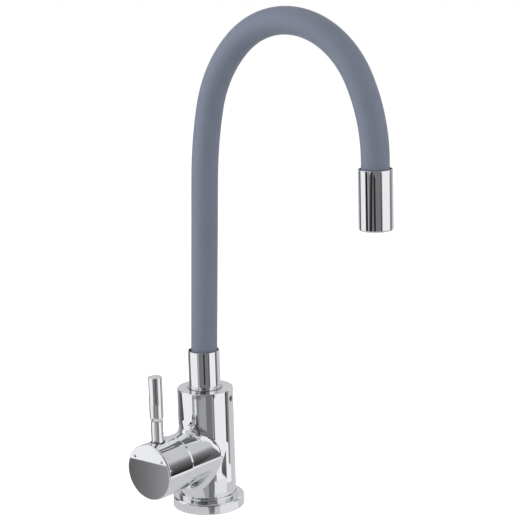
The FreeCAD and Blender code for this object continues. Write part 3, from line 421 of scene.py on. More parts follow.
# Lapped alumina: dense white ceramic with a flat, even shine
CERAMIC = Finish(
    "lapped_alumina",
    Slot.CERAMIC,
    "#F1EFE8",
    "#E9E6DC",
    (0.12, 0.2),
    ior=1.76,
    drift_mm=6.0,
)
# Moulded acetal: milky white with a waxy shine
ACETAL = Finish(
    "moulded_acetal",
    Slot.ACETAL,
    "#ECECE6",
    "#E2E2DB",
    (0.3, 0.42),
    ior=1.48,
    drift_mm=7.0,
    grain_mm=0.5,
    grain_height_mm=0.008,
)
# Extruded polyethylene tube: cloudy, pale blue-grey
WATER_TUBE = Finish(
    "extruded_polyethylene",
    Slot.WATER_TUBE,
    "#D6DEE2",
    "#C9D2D7",
    (0.35, 0.45),
    ior=1.51,
    drift_mm=9.0,
    haze_mm=4.0,
    grain_mm=0.8,
    grain_height_mm=0.006,
)
# Fired enamel drops: glossy colour with a clear top
BLUE_ENAMEL = Finish(
    "blue_enamel_drop",
    Slot.BLUE,
    "#5F7196",
    "#566789",
    (0.12, 0.2),
    drift_mm=1.5,
    haze_mm=0.8,
    coat=0.6,
)
RED_ENAMEL = Finish(
    "red_enamel_drop",
    Slot.RED,
    "#A87A7A",
    "#9B6F6F",
    (0.12, 0.2),
    drift_mm=1.5,
    haze_mm=0.8,
    coat=0.6,
)
FINISHES = {
    finish.slot: finish
    for finish in (
        CHROME,
        BRASS,
        STEEL,
        SILICONE,
        RUBBER,
        CERAMIC,
        ACETAL,
        WATER_TUBE,
        BLUE_ENAMEL,
        RED_ENAMEL,
    )
}

# The nipple's plated flange shows under the lower ferrule, the darker screw in its hole
NODE_FINISHES = {"swivel_nipple": CHROME, "spout_set_screw": SCREW_STEEL}


@dataclass(frozen=True)
class Frame:
    """Own axes of a sub-assembly, in the tap's frame, in millimetres."""

    origin: tuple[float, float, float] = (0.0, 0.0, 0.0)
    across: tuple[float, float, float] = (1.0, 0.0, 0.0)
    up: tuple[float, float, float] = (0.0, 1.0, 0.0)
    along: tuple[float, float, float] = (0.0, 0.0, 1.0)

    def directions(self, local: Array) -> Array:
        """Turn local vectors into the tap's directions."""
        return local @ np.array([self.across, self.up, self.along])

    def points(self, local: Array) -> Array:
        """Turn local points into the tap's frame."""
        return np.array(self.origin) + self.directions(local)


class Skin:
    """A closed surface gathered from grids that meet edge to edge."""

    def __init__(self, frame: Frame | None = None) -> None:
        """Start an empty skin.

        Args:
            frame: Axes that the grids are given in.
        """
        self.frame = frame or Frame()
        self.points: list[Array] = []
        self.normals: list[Array] = []
        self.quads: list[NDArray[np.int64]] = []
        self.count = 0

    def add(self, points: Array, normals: Array, frame: Frame | None = None) -> None:
        """Add a grid of points with the outward normal at each one.

        The quads are wound so that their own normals agree with those given.

        Args:
            points: Grid of shape (rows, columns, 3), in millimetres.
            normals: Unit vectors of the same shape.
            frame: Axes of this grid, where they aren't the skin's own.
        """
        frame = frame or self.frame
        points, normals = frame.points(points), frame.directions(normals)
        rows, columns = points.shape[:2]
        number = np.arange(rows * columns).reshape(rows, columns) + self.count
        quads = np.stack(
            [number[:-1, :-1], number[:-1, 1:], number[1:, 1:], number[1:, :-1]], axis=-1
        ).reshape(-1, 4)
        facing = np.cross(points[1:, 1:] - points[:-1, :-1], points[1:, :-1] - points[:-1, 1:])
        if np.sum(facing * (normals[1:, 1:] + normals[:-1, :-1])) < 0:
            quads = quads[:, ::-1]
        self.points.append(points.reshape(-1, 3))
        self.normals.append(normals.reshape(-1, 3))
        self.quads.append(quads)
        self.count += rows * columns

    def turn(
        self, outline: "Outline", angles: Array | None = None, frame: Frame | None = None
    ) -> None:
        """Revolve an outline about the frame's own Z axis.

        A point (r, z) goes to (r sin a, r cos a, z) for each angle a.

        Args:
            outline: Outline of radius and height.
            angles: Angles from the frame's up direction; a full circle if None.
            frame: Axes of the outline, where they aren't the skin's own.
        """
        angles = circle() if angles is None else angles
        sine, cosine, level = np.sin(angles), np.cos(angles), np.ones_like(angles)
        for stroke in outline.strokes():
            points, normals = (
                np.stack(
                    [
                        np.outer(line[:, 0], sine),
                        np.outer(line[:, 0], cosine),
                        np.outer(line[:, 1], level),
                    ],
                    axis=-1,
                )
                for line in stroke
            )
            self.add(points, normals, frame)

    def add_wall(self, first: Array, last: Array, facing: Array) -> None:
        """Add the straight wall between two lines that share their normals."""
        self.add(np.stack([first, last]), np.stack([facing, facing]))

    def add_flat(self, rim: Array, inside: Array, facing: Array) -> None:
        """Add the flat face between a rim and a line, or a point, inside it."""
        grid = np.stack([rim, np.broadcast_to(inside, rim.shape)])
        self.add(grid, np.broadcast_to(facing, grid.shape))

    def build(self, name: str) -> bpy.types.Object:
        """Weld the grids into one mesh object that keeps their exact normals.

        Points closer than the weld step become one, a quad that has lost a
        corner at a pole becomes a triangle, and each corner keeps the normal
        of its own grid, so that edges stay crisp and roundings smooth.

        Args:
            name: Name of the object.

        Returns:
            Object at the origin with its place in its mesh, in metres.
        """
        points, normals = np.concatenate(self.points), np.concatenate(self.normals)
        quads = np.concatenate(self.quads)
        rounded = np.round(points / WELD_STEP).astype(np.int64)
        _, first, merged = np.unique(rounded, axis=0, return_index=True, return_inverse=True)
        corners = merged.reshape(-1)[quads]
        kept = corners != np.roll(corners, 1, axis=1)
        whole = kept.sum(axis=1) >= 3
        kept, corners, quads = kept[whole], corners[whole], quads[whole]
        sides = kept.sum(axis=1)
        mesh = bpy.data.meshes.new(name)
        mesh.vertices.add(len(first))
        mesh.vertices.foreach_set("co", (points[first] * METRES).astype(np.float32).ravel())
        mesh.loops.add(int(sides.sum()))
        mesh.loops.foreach_set("vertex_index", corners[kept].astype(np.int32))
        mesh.polygons.add(len(sides))
        starts = np.concatenate([[0], np.cumsum(sides)[:-1]])
        mesh.polygons.foreach_set("loop_start", starts.astype(np.int32))
        mesh.polygons.foreach_set("use_smooth", np.ones(len(sides), bool))
        mesh.update(calc_edges=True)
        mesh.validate()
        mesh.normals_split_custom_set(normals[quads[kept]].tolist())
        piece = bpy.data.objects.new(name, mesh)
        bpy.context.scene.collection.objects.link(piece)
        return piece


def circle(start: float = 0.0, turn: float = 2 * math.pi) -> Array:
    """Angles of even steps of the common circle, from start over the given turn."""
    steps = round(CIRCLE_STEPS * abs(turn) / (2 * math.pi))
    return start + np.linspace(0.0, turn, steps + 1)


def unit(vectors: Array) -> Array:
    """Scale vectors to length 1."""
    return vectors / np.linalg.norm(vectors, axis=-1, keepdims=True)


@dataclass(frozen=True)
class Corner:
    """Corner of a turned outline, with the radius of its rounding."""

    radius: float
    height: float
    rounding: float = 0.0


@dataclass(frozen=True)
class Bow:
    """Arc between two corners about a point on the axis of turning."""

    height: float
    radius: float


@dataclass
class Outline:
    """Outline in the plane of radius and height, with the material on its left.

    It runs up the outer side, inward over the top and down the bore. A closed
    one goes on from its last corner to its first.
    """

    items: list[Corner | Bow]
    closed: bool = True

    def strokes(self) -> list[tuple[Array, Array]]:
        """Split the outline into smooth strokes.

        Each corner's rounding is an arc, and what is left between two corners
        is a straight stroke or the bow that stands between them.

        Returns:
            Points and outward normals of each stroke, as (radius, height) rows.
        """
        corners = [item for item in self.items if isinstance(item, Corner)]
        spots = np.array([(corner.radius, corner.height) for corner in corners])
        starts, ends = spots.copy(), spots.copy()
        strokes = []
        for index, corner in enumerate(corners):
            if corner.rounding:
                beyond = spots[(index + 1) % len(spots)]
                arc = self.rounding(spots[index - 1], spots[index], beyond, corner.rounding)
                ends[index], starts[index] = arc[0][0], arc[0][-1]
                strokes.append(arc)
        number = -1
        for item, following in zip(self.items, [*self.items[1:], self.items[0]]):
            number += isinstance(item, Corner)
            start, end = starts[number], ends[(number + 1) % len(corners)]
            last = number == len(corners) - 1
            if isinstance(item, Bow):
                strokes.append(self.bow(item, start, end))
            elif isinstance(following, Corner) and not (last and not self.closed):
                if np.linalg.norm(end - start) > WELD_STEP:
                    strokes.append(self.line(start, end))
        return strokes

    def line(self, start: Array, end: Array) -> tuple[Array, Array]:
        """Straight stroke, whose normal for a heading (u, v) is (v, -u).

        Args:
            start: First point.
            end: Last point.

        Returns:
            Points and outward normals.
        """
        heading = unit(end - start)
        normal = np.array([heading[1], -heading[0]])
        return np.array([start, end]), np.array([normal, normal])

    def rounding(
        self, before: Array, spot: Array, after: Array, radius: float
    ) -> tuple[Array, Array]:
        """Arc that rounds a corner.

        For a turn by t, an arc of radius q starts q tan(t / 2) before the
        corner, and its centre lies q to the inner side of its start.

        Args:
            before: Corner before it.
            spot: Corner itself.
            after: Corner after it.
            radius: Radius of the arc.

        Returns:
            Points and outward normals.
        """
        heading, leaving = unit(spot - before), unit(after - spot)
        turn = math.atan2(heading[0] * leaving[1] - heading[1] * leaving[0], heading @ leaving)
        bend = math.copysign(1.0, turn)
        angles = math.atan2(heading[1], heading[0]) + np.linspace(0, turn, ROUNDING_STEPS + 1)
        normals = np.stack([np.sin(angles), -np.cos(angles)], axis=-1)
        start = spot - heading * radius * math.tan(abs(turn) / 2)
        centre = start - normals[0] * radius * bend
        return centre + normals * radius * bend, normals

    def bow(self, item: Bow, start: Array, end: Array) -> tuple[Array, Array]:
        """Arc about a point of the axis, from start to end.

        For a centre at height h and a radius q, the point at angle a is
        (q cos a, h + q sin a).

        Args:
            item: Height of its centre and its radius.
            start: First point.
            end: Last point.

        Returns:
            Points and outward normals.
        """
        first, last = (math.atan2(p[1] - item.height, p[0]) for p in (start, end))
        angles = np.linspace(first, last, BOW_STEPS + 1)
        radial = np.stack([np.cos(angles), np.sin(angles)], axis=-1)
        points = radial * item.radius + np.array([0.0, item.height])
        return points, radial * math.copysign(1.0, last - first)


def web(inner: Array, outer: Array, steps: int) -> Array:
    """Fill the band between two closed curves with equal numbers of points.

    Row s of the grid is inner (1 - s) + outer s, as s runs from 0 to 1.

    Args:
        inner: Inner curve, shape (points, 2).
        outer: Outer curve of the same shape.
        steps: Rows from one to the other.

    Returns:
        Grid of shape (steps + 1, points, 2).
    """
    share = np.linspace(0, 1, steps + 1)[:, None, None]
    return inner[None] * (1 - share) + outer[None] * share


def rectangle(low: Array, high: Array, across: int, upward: int) -> Array:
    """Corners and even steps of a rectangle's edge, anticlockwise and closed.

    Args:
        low: Lower left corner.
        high: Upper right corner.
        across: Steps along the lower and upper edges.
        upward: Steps along the two sides.

    Returns:
        Points of shape (2 across + 2 upward + 1, 2).
    """
    x, y = np.linspace(low[0], high[0], across + 1), np.linspace(low[1], high[1], upward + 1)
    sides = [
        np.stack([x, np.full_like(x, low[1])], axis=-1)[:-1],
        np.stack([np.full_like(y, high[0]), y], axis=-1)[:-1],
        np.stack([x[::-1], np.full_like(x, high[1])], axis=-1)[:-1],
        np.stack([np.full_like(y, low[0]), y[::-1]], axis=-1),
    ]
    return np.concatenate(sides)


def finish_piece(
    skin: Skin, name: str, body: Body, nodes: tuple[str, ...], finish: Finish
) -> bpy.types.Object:
    """Build a skin, dress it and hang it on its body.

    Args:
        skin: Closed surface.
        name: Name of the piece.
        body: Body that it rides on.
        nodes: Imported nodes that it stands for.
        finish: Its finish.

    Returns:
        The finished piece.
    """
    piece = skin.build(name)
    finish.dress(piece)
    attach(piece, body.value)
    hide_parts(*nodes)
    LOG.info("%s: %d faces on %s", name, len(piece.data.polygons), body.value)
    return piece


CARTRIDGE_AXES = {"across": (1.0, 0.0, 0.0), "up": (0.0, 0.0, 1.0), "along": (0.0, -1.0, 0.0)}


@dataclass
class Column:
    """Column with the boss for the lever, its seats and its holes."""

    radius: float = 22.5
    foot: float = 3.0
    split: float = 80.0
    top: float = 98.7
    edge: float = 0.6
    boss_radius: float = 21.4
    boss_height: float = 46.0
    boss_end: float = 41.7
    bevel_start: float = 40.1
    bevel_radius: float = 20.85
    fillet: float = 9.0
    nut_bore: float = 19.0
    nut_seat: float = 36.0
    cartridge_bore: float = 17.7
    cartridge_seat: float = 12.5
    recess_radius: float = 14.15
    recess_floor: float = 94.7
    recess_edge: float = 0.15
    socket_radius: float = 10.05
    socket_floor: float = 62.0
    screw_radius: float = 2.6
    screw_height: float = 91.0
    screw_azimuth: float = math.radians(106.5)
    screw_floor: float = 12.0
    inlet_side: float = 8.5
    inlet_radius: float = 4.5
    inlet_depth: float = 14.0
    stud_side: float = 13.0
    stud_radius: float = 3.4
    stud_depth: float = 12.0

    def build(self) -> None:
        """Build the column with its boss."""
        skin = Skin()
        self.add_boss_band(skin)
        self.add_screw_band(skin)
        self.add_top(skin)
        self.add_underside(skin)
        finish_piece(skin, "column_and_boss", Body.FIXED, ("tap_body",), CHROME)

    def wrap(self, grid: Array) -> tuple[Array, Array]:
        """Wrap a grid of (azimuth, height) round the column.

        Azimuth a at height z goes to (R sin a, -R cos a, z), so that azimuth 0
        faces the lever.

        Args:
            grid: Grid whose last axis holds azimuth and height.

        Returns:
            Points and outward normals.
        """
        azimuth, height = grid[..., 0], grid[..., 1]
        normals = np.stack([np.sin(azimuth), -np.cos(azimuth), np.zeros_like(azimuth)], axis=-1)
        points = normals * self.radius
        points[..., 2] = height
        return points, normals

    def add_boss_band(self, skin: Skin) -> None:
        """Lower part of the column, the fillet and the boss.

        A ball of the fillet's radius q rolls along column and boss. Its centre
        is at R + q from the column's axis and at B + q from the boss's axis, so
        at angle t round the boss it is ((B + q) sin t, -sqrt((R + q)^2 - x^2),
        h + (B + q) cos t). The column's skin starts where the ball touches it.

        Args:
            skin: Skin that the grids join.
        """
        far = self.boss_radius + self.fillet
        reach = self.radius + self.fillet
        edge = rectangle(
            np.array([-math.pi, self.foot]),
            np.array([math.pi, self.split]),
            CIRCLE_STEPS,
            BOSS_BAND_SIDE_STEPS,
        )
        widest = math.asin(far / reach)
        turn = np.unwrap(np.arctan2(edge[:, 0] / widest, (edge[:, 1] - self.boss_height) / far))
        sine, cosine = np.sin(turn), np.cos(turn)
        x = far * sine
        inner = np.stack([np.arcsin(x / reach), self.boss_height + far * cosine], axis=-1)
        skin.add(*self.wrap(web(inner, edge, BOSS_BAND_STEPS)))
        y = -np.sqrt(reach**2 - x**2)
        z = self.boss_height + far * cosine
        centre = np.stack([x, y, z], axis=-1)
        on_column = np.stack([x * self.radius / reach, y * self.radius / reach, z], axis=-1)
        radial = np.stack([sine, np.zeros_like(sine), cosine], axis=-1)
        axis = np.array([0.0, 0.0, self.boss_height])
        on_boss = radial * self.boss_radius + axis
        on_boss[:, 1] = y
        first, last = unit(on_column - centre), unit(on_boss - centre)
        opening = np.arccos(np.sum(first * last, axis=-1))[None, :, None]
        share = np.linspace(0, 1, FILLET_STEPS + 1)[:, None, None]
        out = (np.sin((1 - share) * opening) * first + np.sin(share * opening) * last) / np.sin(opening)
        skin.add(centre + out * self.fillet, -out)
        levels = np.linspace(0, 1, BOSS_WALL_STEPS + 1)[:, None]
        wall = np.repeat((radial * self.boss_radius + axis)[None], BOSS_WALL_STEPS + 1, axis=0)
        wall[..., 1] = y * (1 - levels) - self.bevel_start * levels
        skin.add(wall, np.broadcast_to(radial, wall.shape))
        inside = Outline(
            [
                Corner(self.boss_radius, self.bevel_start),
                Corner(self.bevel_radius, self.boss_end),
                Corner(self.nut_bore, self.boss_end),
                Corner(self.nut_bore, self.nut_seat),
                Corner(self.cartridge_bore, self.nut_seat),
                Corner(self.cartridge_bore, self.cartridge_seat),
                Corner(0.0, self.cartridge_seat),
            ],
            closed=False,
        )
        skin.turn(inside, turn, Frame((0.0, 0.0, self.boss_height), **CARTRIDGE_AXES))

    def add_screw_band(self, skin: Skin) -> None:
        """Upper part of the column, with the hole for the spout's set screw.

        The hole's rim lies on the column where a bar of radius q crosses it: at
        azimuth asin(q cos b / R) from the hole's, and height q sin b.

        Args:
            skin: Skin that the grids join.
        """
        edge = rectangle(
            np.array([self.screw_azimuth - math.pi, self.split]),
            np.array([self.screw_azimuth + math.pi, self.top - self.edge]),
            CIRCLE_STEPS,
            SCREW_BAND_SIDE_STEPS,
        )
        across = (edge[:, 0] - self.screw_azimuth) * self.radius
        turn = np.arctan2(edge[:, 1] - self.screw_height, across)
        side, rise = self.screw_radius * np.cos(turn), self.screw_radius * np.sin(turn)
        inner = np.stack(
            [self.screw_azimuth + np.arcsin(side / self.radius), self.screw_height + rise], axis=-1
        )
        skin.add(*self.wrap(web(inner, edge, SCREW_BAND_STEPS)))
        outward = np.array([math.sin(self.screw_azimuth), -math.cos(self.screw_azimuth), 0.0])
        sideways = np.array([math.cos(self.screw_azimuth), math.sin(self.screw_azimuth), 0.0])
        upward = np.array([0.0, 0.0, 1.0])
        offset = side[:, None] * sideways + (self.screw_height + rise)[:, None] * upward
        rim = np.sqrt(self.radius**2 - side**2)[:, None] * outward + offset
        floor = np.full_like(side, self.screw_floor)[:, None] * outward + offset
        middle = self.screw_floor * outward + self.screw_height * upward
        inward = -unit(side[:, None] * sideways + rise[:, None] * upward)
        skin.add_wall(rim, floor, inward)
        skin.add_flat(floor, middle, outward)

    def add_top(self, skin: Skin) -> None:
        """Rounded top edge, the ring recess round the swivel and its socket.

        Args:
            skin: Skin that the surfaces join.
        """
        outline = Outline(
            [
                Corner(self.radius, self.top - self.edge),
                Corner(self.radius, self.top, self.edge),
                Corner(self.recess_radius, self.top, self.recess_edge),
                Corner(self.recess_radius, self.recess_floor),
                Corner(self.socket_radius, self.recess_floor),
                Corner(self.socket_radius, self.socket_floor),
                Corner(0.0, self.socket_floor),
            ],
            closed=False,
        )
        skin.turn(outline)

    def add_underside(self, skin: Skin) -> None:
        """Foot of the column: four quarters, each with one threaded hole.

        A quarter's edge runs from the middle along one diagonal, round the rim
        and back; the hole's rim has a point in the direction of each of its
        points.

        Args:
            skin: Skin that the grids join.
        """
        holes = (
            (0.0, self.inlet_side, self.inlet_radius, self.inlet_depth),
            (0.5, self.stud_side, self.stud_radius, self.stud_depth),
            (1.0, self.inlet_side, self.inlet_radius, self.inlet_depth),
            (1.5, self.stud_side, self.stud_radius, self.stud_depth),
        )
        down = np.array([0.0, 0.0, -1.0])
        for half_turns, out, radius, depth in holes:
            middle = math.pi * half_turns
            arc = circle(middle - math.pi / 4, math.pi / 2)
            rim = np.stack([np.cos(arc), np.sin(arc)], axis=-1) * self.radius
            share = np.linspace(0, 1, SPOKE_STEPS + 1)[:, None]
            edge = np.concatenate([rim[0] * share[:-1], rim, rim[-1] * share[::-1][1:]])
            centre = np.array([math.cos(middle), math.sin(middle)]) * out
            inner = centre + unit(edge - centre) * radius
            flat = web(inner, edge, FOOT_STEPS)
            foot = np.full(flat.shape[:2], self.foot)[..., None]
            grid = np.concatenate([flat, foot], axis=-1)
            skin.add(grid, np.broadcast_to(down, grid.shape))
            lower = np.concatenate([inner, np.full((len(inner), 1), self.foot)], axis=-1)
            upper = lower + np.array([0.0, 0.0, depth])
            inward = np.concatenate([-unit(inner - centre), np.zeros((len(inner), 1))], axis=-1)
            skin.add_wall(lower, upper, inward)
            skin.add_flat(upper, np.array([*centre, self.foot + depth]), down)


@dataclass
class BaseRing:
    """Stepped ring between the column and the deck."""

    opening: float = 18.0
    radius: float = 28.8
    top: float = 8.7
    edge: float = 1.4
    foot_bevel: float = 0.6
    collar_radius: float = 24.3
    collar_foot_edge: float = 0.2
    collar_top: float = 11.5
    collar_edge: float = 0.5
    bore: float = 22.7
    bore_edge: float = 0.15
    floor: float = 3.0
    groove_inner: float = 23.2
    groove_outer: float = 26.2
    groove_depth: float = 1.6

    def build(self) -> None:
        """Turn the ring from its outline."""
        skin = Skin()
        skin.turn(
            Outline(
                [
                    Corner(self.opening, 0.0),
                    Corner(self.groove_inner, 0.0),
                    Corner(self.groove_inner, self.groove_depth),
                    Corner(self.groove_outer, self.groove_depth),
                    Corner(self.groove_outer, 0.0),
                    Corner(self.radius, 0.0, self.foot_bevel),
                    Corner(self.radius, self.top, self.edge),
                    Corner(self.collar_radius, self.top, self.collar_foot_edge),
                    Corner(self.collar_radius, self.collar_top, self.collar_edge),
                    Corner(self.bore, self.collar_top, self.bore_edge),
                    Corner(self.bore, self.floor),
                    Corner(self.opening, self.floor),
                ]
            )
        )
        finish_piece(skin, "stepped_ring", Body.FIXED, ("base_ring",), CHROME)


@dataclass
class LeverCap:
    """Cap over the cartridge, with the seam ring behind it and the two marks."""

    axis_height: float = 46.0
    pivot: float = 36.6
    radius: float = 22.5
    rear: float = 42.6
    face: float = 69.5
    edge: float = 1.1
    rear_edge: float = 0.25
    hollow: float = 22.3
    hub_radius: float = 6.5
    hub_end: float = 50.0
    hub_bore: float = 5.4
    hub_floor: float = 65.6
    pin_along: float = 58.0
    recess_radius: float = 5.9
    recess_floor: float = 21.2
    thread_radius: float = 3.1
    thread_floor: float = 11.9
    grub_along: float = 62.5
    grub_radius: float = 2.5
    grub_floor: float = -4.1
    mark_radius: float = 1.15
    mark_side: float = 14.0
    mark_rise: float = 11.0
    mark_depth: float = 0.5
    mark_play: float = 0.04
    mark_lift: float = 0.02
    mark_shoulder: float = 0.1
    mark_shoulder_edge: float = 0.05
    mark_crown_edge: float = 0.6
    dome: float = 22.0
    dome_wall: float = 1.4
    dome_opening: float = 15.7
    boss_end: float = 41.7
    boss_rim: float = 20.9
    rim_step: float = 0.05
    skirt: float = 18.9
    skirt_inner: float = 18.05
    skirt_foot: float = 40.9

    @property
    def frame(self) -> Frame:
        """Axes of the cartridge: Z runs out of the boss, Y is up."""
        return Frame((0.0, 0.0, self.axis_height), **CARTRIDGE_AXES)

    def build(self) -> None:
        """Build the cap, the seam ring and the marks."""
        skin = Skin(self.frame)
        self.add_half(skin, 0.0, self.pin_along, self.recess_radius)
        self.add_half(skin, math.pi, self.grub_along, self.grub_radius)
        self.add_rims(skin)
        for side in (-1.0, 1.0):
            self.add_face_half(skin, side)
        finish_piece(skin, "lever_cap", Body.LEVER, ("handle_cap",), CHROME)
        self.build_seam_ring()
        self.build_mark("cold_drop", -1.0, "cold_mark", BLUE_ENAMEL)
        self.build_mark("hot_drop", 1.0, "hot_mark", RED_ENAMEL)

    def add_half(self, skin: Skin, middle: float, along: float, radius: float) -> None:
        """Half of the cap's wall with one round hole across its axis.

        The wall's point at angle a and depth L is (R sin a, R cos a, L). The
        hole's rim lies where a bar of radius q crosses it: a = asin(q cos b / R)
        from the half's middle and L = hole + q sin b.

        Args:
            skin: Skin that the grids join.
            middle: Angle of the half's middle, 0 above and pi below.
            along: Depth of the hole's axis.
            radius: Radius of the hole.
        """
        quarter = math.pi / 2
        edge = rectangle(
            np.array([middle - quarter, self.rear + self.rear_edge]),
            np.array([middle + quarter, self.face - self.edge]),
            CIRCLE_STEPS // 2,
            CAP_SIDE_STEPS,
        )
        turn = np.arctan2(edge[:, 1] - along, (edge[:, 0] - middle) * self.radius)
        side, rise = radius * np.cos(turn), radius * np.sin(turn)
        inner = np.stack([middle + np.arcsin(side / self.radius), along + rise], axis=-1)
        grid = web(inner, edge, CAP_WALL_STEPS)
        angle, depth = grid[..., 0], grid[..., 1]
        normals = np.stack([np.sin(angle), np.cos(angle), np.zeros_like(angle)], axis=-1)
        points = normals * self.radius
        points[..., 2] = depth
        skin.add(points, normals)
        sign = math.cos(middle)
        rim = np.stack(
            [side * sign, sign * np.sqrt(self.radius**2 - side**2), along + rise], axis=-1
        )
        inward = np.stack([-side * sign, np.zeros_like(side), -rise], axis=-1) / radius
        facing = np.array([0.0, sign, 0.0])
        if middle == 0.0:
            levels = [(radius, self.recess_floor), (self.thread_radius, self.thread_floor)]
        else:
            levels = [(radius, self.grub_floor)]
        ring = rim
        for size, level in levels:
            if size != radius:
                narrow = ring.copy()
                narrow[:, 0] *= size / radius
                narrow[:, 2] = along + (ring[:, 2] - along) * size / radius
                skin.add_flat(ring, narrow, facing)
                ring = narrow
            lower = ring.copy()
            lower[:, 1] = level
            skin.add_wall(ring, lower, inward)
            ring = lower
        skin.add_flat(ring, np.array([0.0, ring[0, 1], along]), facing)

    def add_rims(self, skin: Skin) -> None:
        """Front rounding, rear rim, spherical hollow and hub.

        The hollow's ball of radius q meets a wall of radius r at
        sqrt(q^2 - r^2) from the pivot.

        Args:
            skin: Skin that the surfaces join.
        """
        lip = math.sqrt(self.hollow**2 - (self.rear - self.pivot) ** 2)
        root = self.pivot + math.sqrt(self.hollow**2 - self.hub_radius**2)
        front = Outline(
            [
                Corner(self.radius, self.face - self.edge),
                Corner(self.radius, self.face, self.edge),
                Corner(self.radius - self.edge, self.face),
            ],
            closed=False,
        )
        skin.turn(front)
        inside = Outline(
            [
                Corner(0.0, self.hub_floor),
                Corner(self.hub_bore, self.hub_floor),
                Corner(self.hub_bore, self.hub_end),
                Corner(self.hub_radius, self.hub_end),
                Corner(self.hub_radius, root),
                Bow(self.pivot, self.hollow),
                Corner(lip, self.rear),
                Corner(self.radius - self.rear_edge, self.rear),
                Corner(self.radius, self.rear + self.rear_edge),
            ],
            closed=False,
        )
        skin.turn(inside)

    def add_face_half(self, skin: Skin, side: float) -> None:
        """Left or right half of the flat face, with the seat of its mark.

        The half's edge is a half circle and the upright chord. The seat's rim
        has a point in the direction of each of the edge's points.

        Args:
            skin: Skin that the grids join.
            side: -1 for the cold side and 1 for the hot side.
        """
        reach = self.radius - self.edge
        arc = circle(0.0, side * math.pi)
        rim = np.stack([np.sin(arc), np.cos(arc)], axis=-1) * reach
        line = np.linspace(-reach, reach, CHORD_STEPS + 1)[1:]
        chord = np.stack([np.zeros_like(line), line], axis=-1)
        edge = np.concatenate([rim, chord])
        centre = np.array([side * self.mark_side, self.mark_rise])
        direction = unit(edge - centre)
        inner = centre + direction * self.mark_radius
        flat = web(inner, edge, FACE_STEPS)
        grid = np.concatenate([flat, np.full((*flat.shape[:2], 1), self.face)], axis=-1)
        front = np.array([0.0, 0.0, 1.0])
        skin.add(grid, np.broadcast_to(front, grid.shape))
        upper = grid[0]
        lower = upper - front * self.mark_depth
        inward = np.concatenate([-direction, np.zeros((len(inner), 1))], axis=-1)
        skin.add_wall(upper, lower, inward)
        skin.add_flat(lower, np.array([*centre, self.face - self.mark_depth]), front)

    def build_seam_ring(self) -> None:
        """Domed cover whose bright rim shows in the seam behind the cap."""
        inner = self.dome - self.dome_wall
        foot = self.boss_end - self.pivot
        shoulder = math.sqrt(self.dome**2 - (foot + self.rim_step) ** 2)
        skin = Skin(self.frame)
        skin.turn(
            Outline(
                [
                    Corner(self.skirt_inner, self.skirt_foot),
                    Corner(self.skirt, self.skirt_foot),
                    Corner(self.skirt, self.boss_end),
                    Corner(self.boss_rim, self.boss_end),
                    Corner(shoulder, self.boss_end + self.rim_step),
                    Bow(self.pivot, self.dome),
                    Corner(
                        self.dome_opening,
                        self.pivot + math.sqrt(self.dome**2 - self.dome_opening**2),
                    ),
                    Corner(
                        self.dome_opening,
                        self.pivot + math.sqrt(inner**2 - self.dome_opening**2),
                    ),
                    Bow(self.pivot, inner),
                    Corner(
                        self.skirt_inner,
                        self.pivot + math.sqrt(inner**2 - self.skirt_inner**2),
                    ),
                ]
            )
        )
        finish_piece(skin, "seam_ring", Body.FIXED, ("trim_dome",), CHROME)

    def build_mark(self, name: str, side: float, node: str, finish: Finish) -> None:
        """Enamel drop in the face, domed up to the face's own level.

        Args:
            name: Name of the piece.
            side: -1 for the cold side and 1 for the hot side.
            node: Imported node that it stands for.
            finish: Its enamel.
        """
        middle = (side * self.mark_side, -self.face, self.axis_height + self.mark_rise)
        skin = Skin(Frame(middle, **CARTRIDGE_AXES))
        radius = self.mark_radius - self.mark_play
        skin.turn(
            Outline(
                [
                    Corner(0.0, -self.mark_depth + self.mark_lift),
                    Corner(radius, -self.mark_depth + self.mark_lift),
                    Corner(radius, -self.mark_shoulder, self.mark_shoulder_edge),
                    Corner(radius / 2, -self.mark_lift, self.mark_crown_edge),
                    Corner(0.0, 0.0),
                ]
            )
        )
        finish_piece(skin, name, Body.LEVER, (node,), finish)


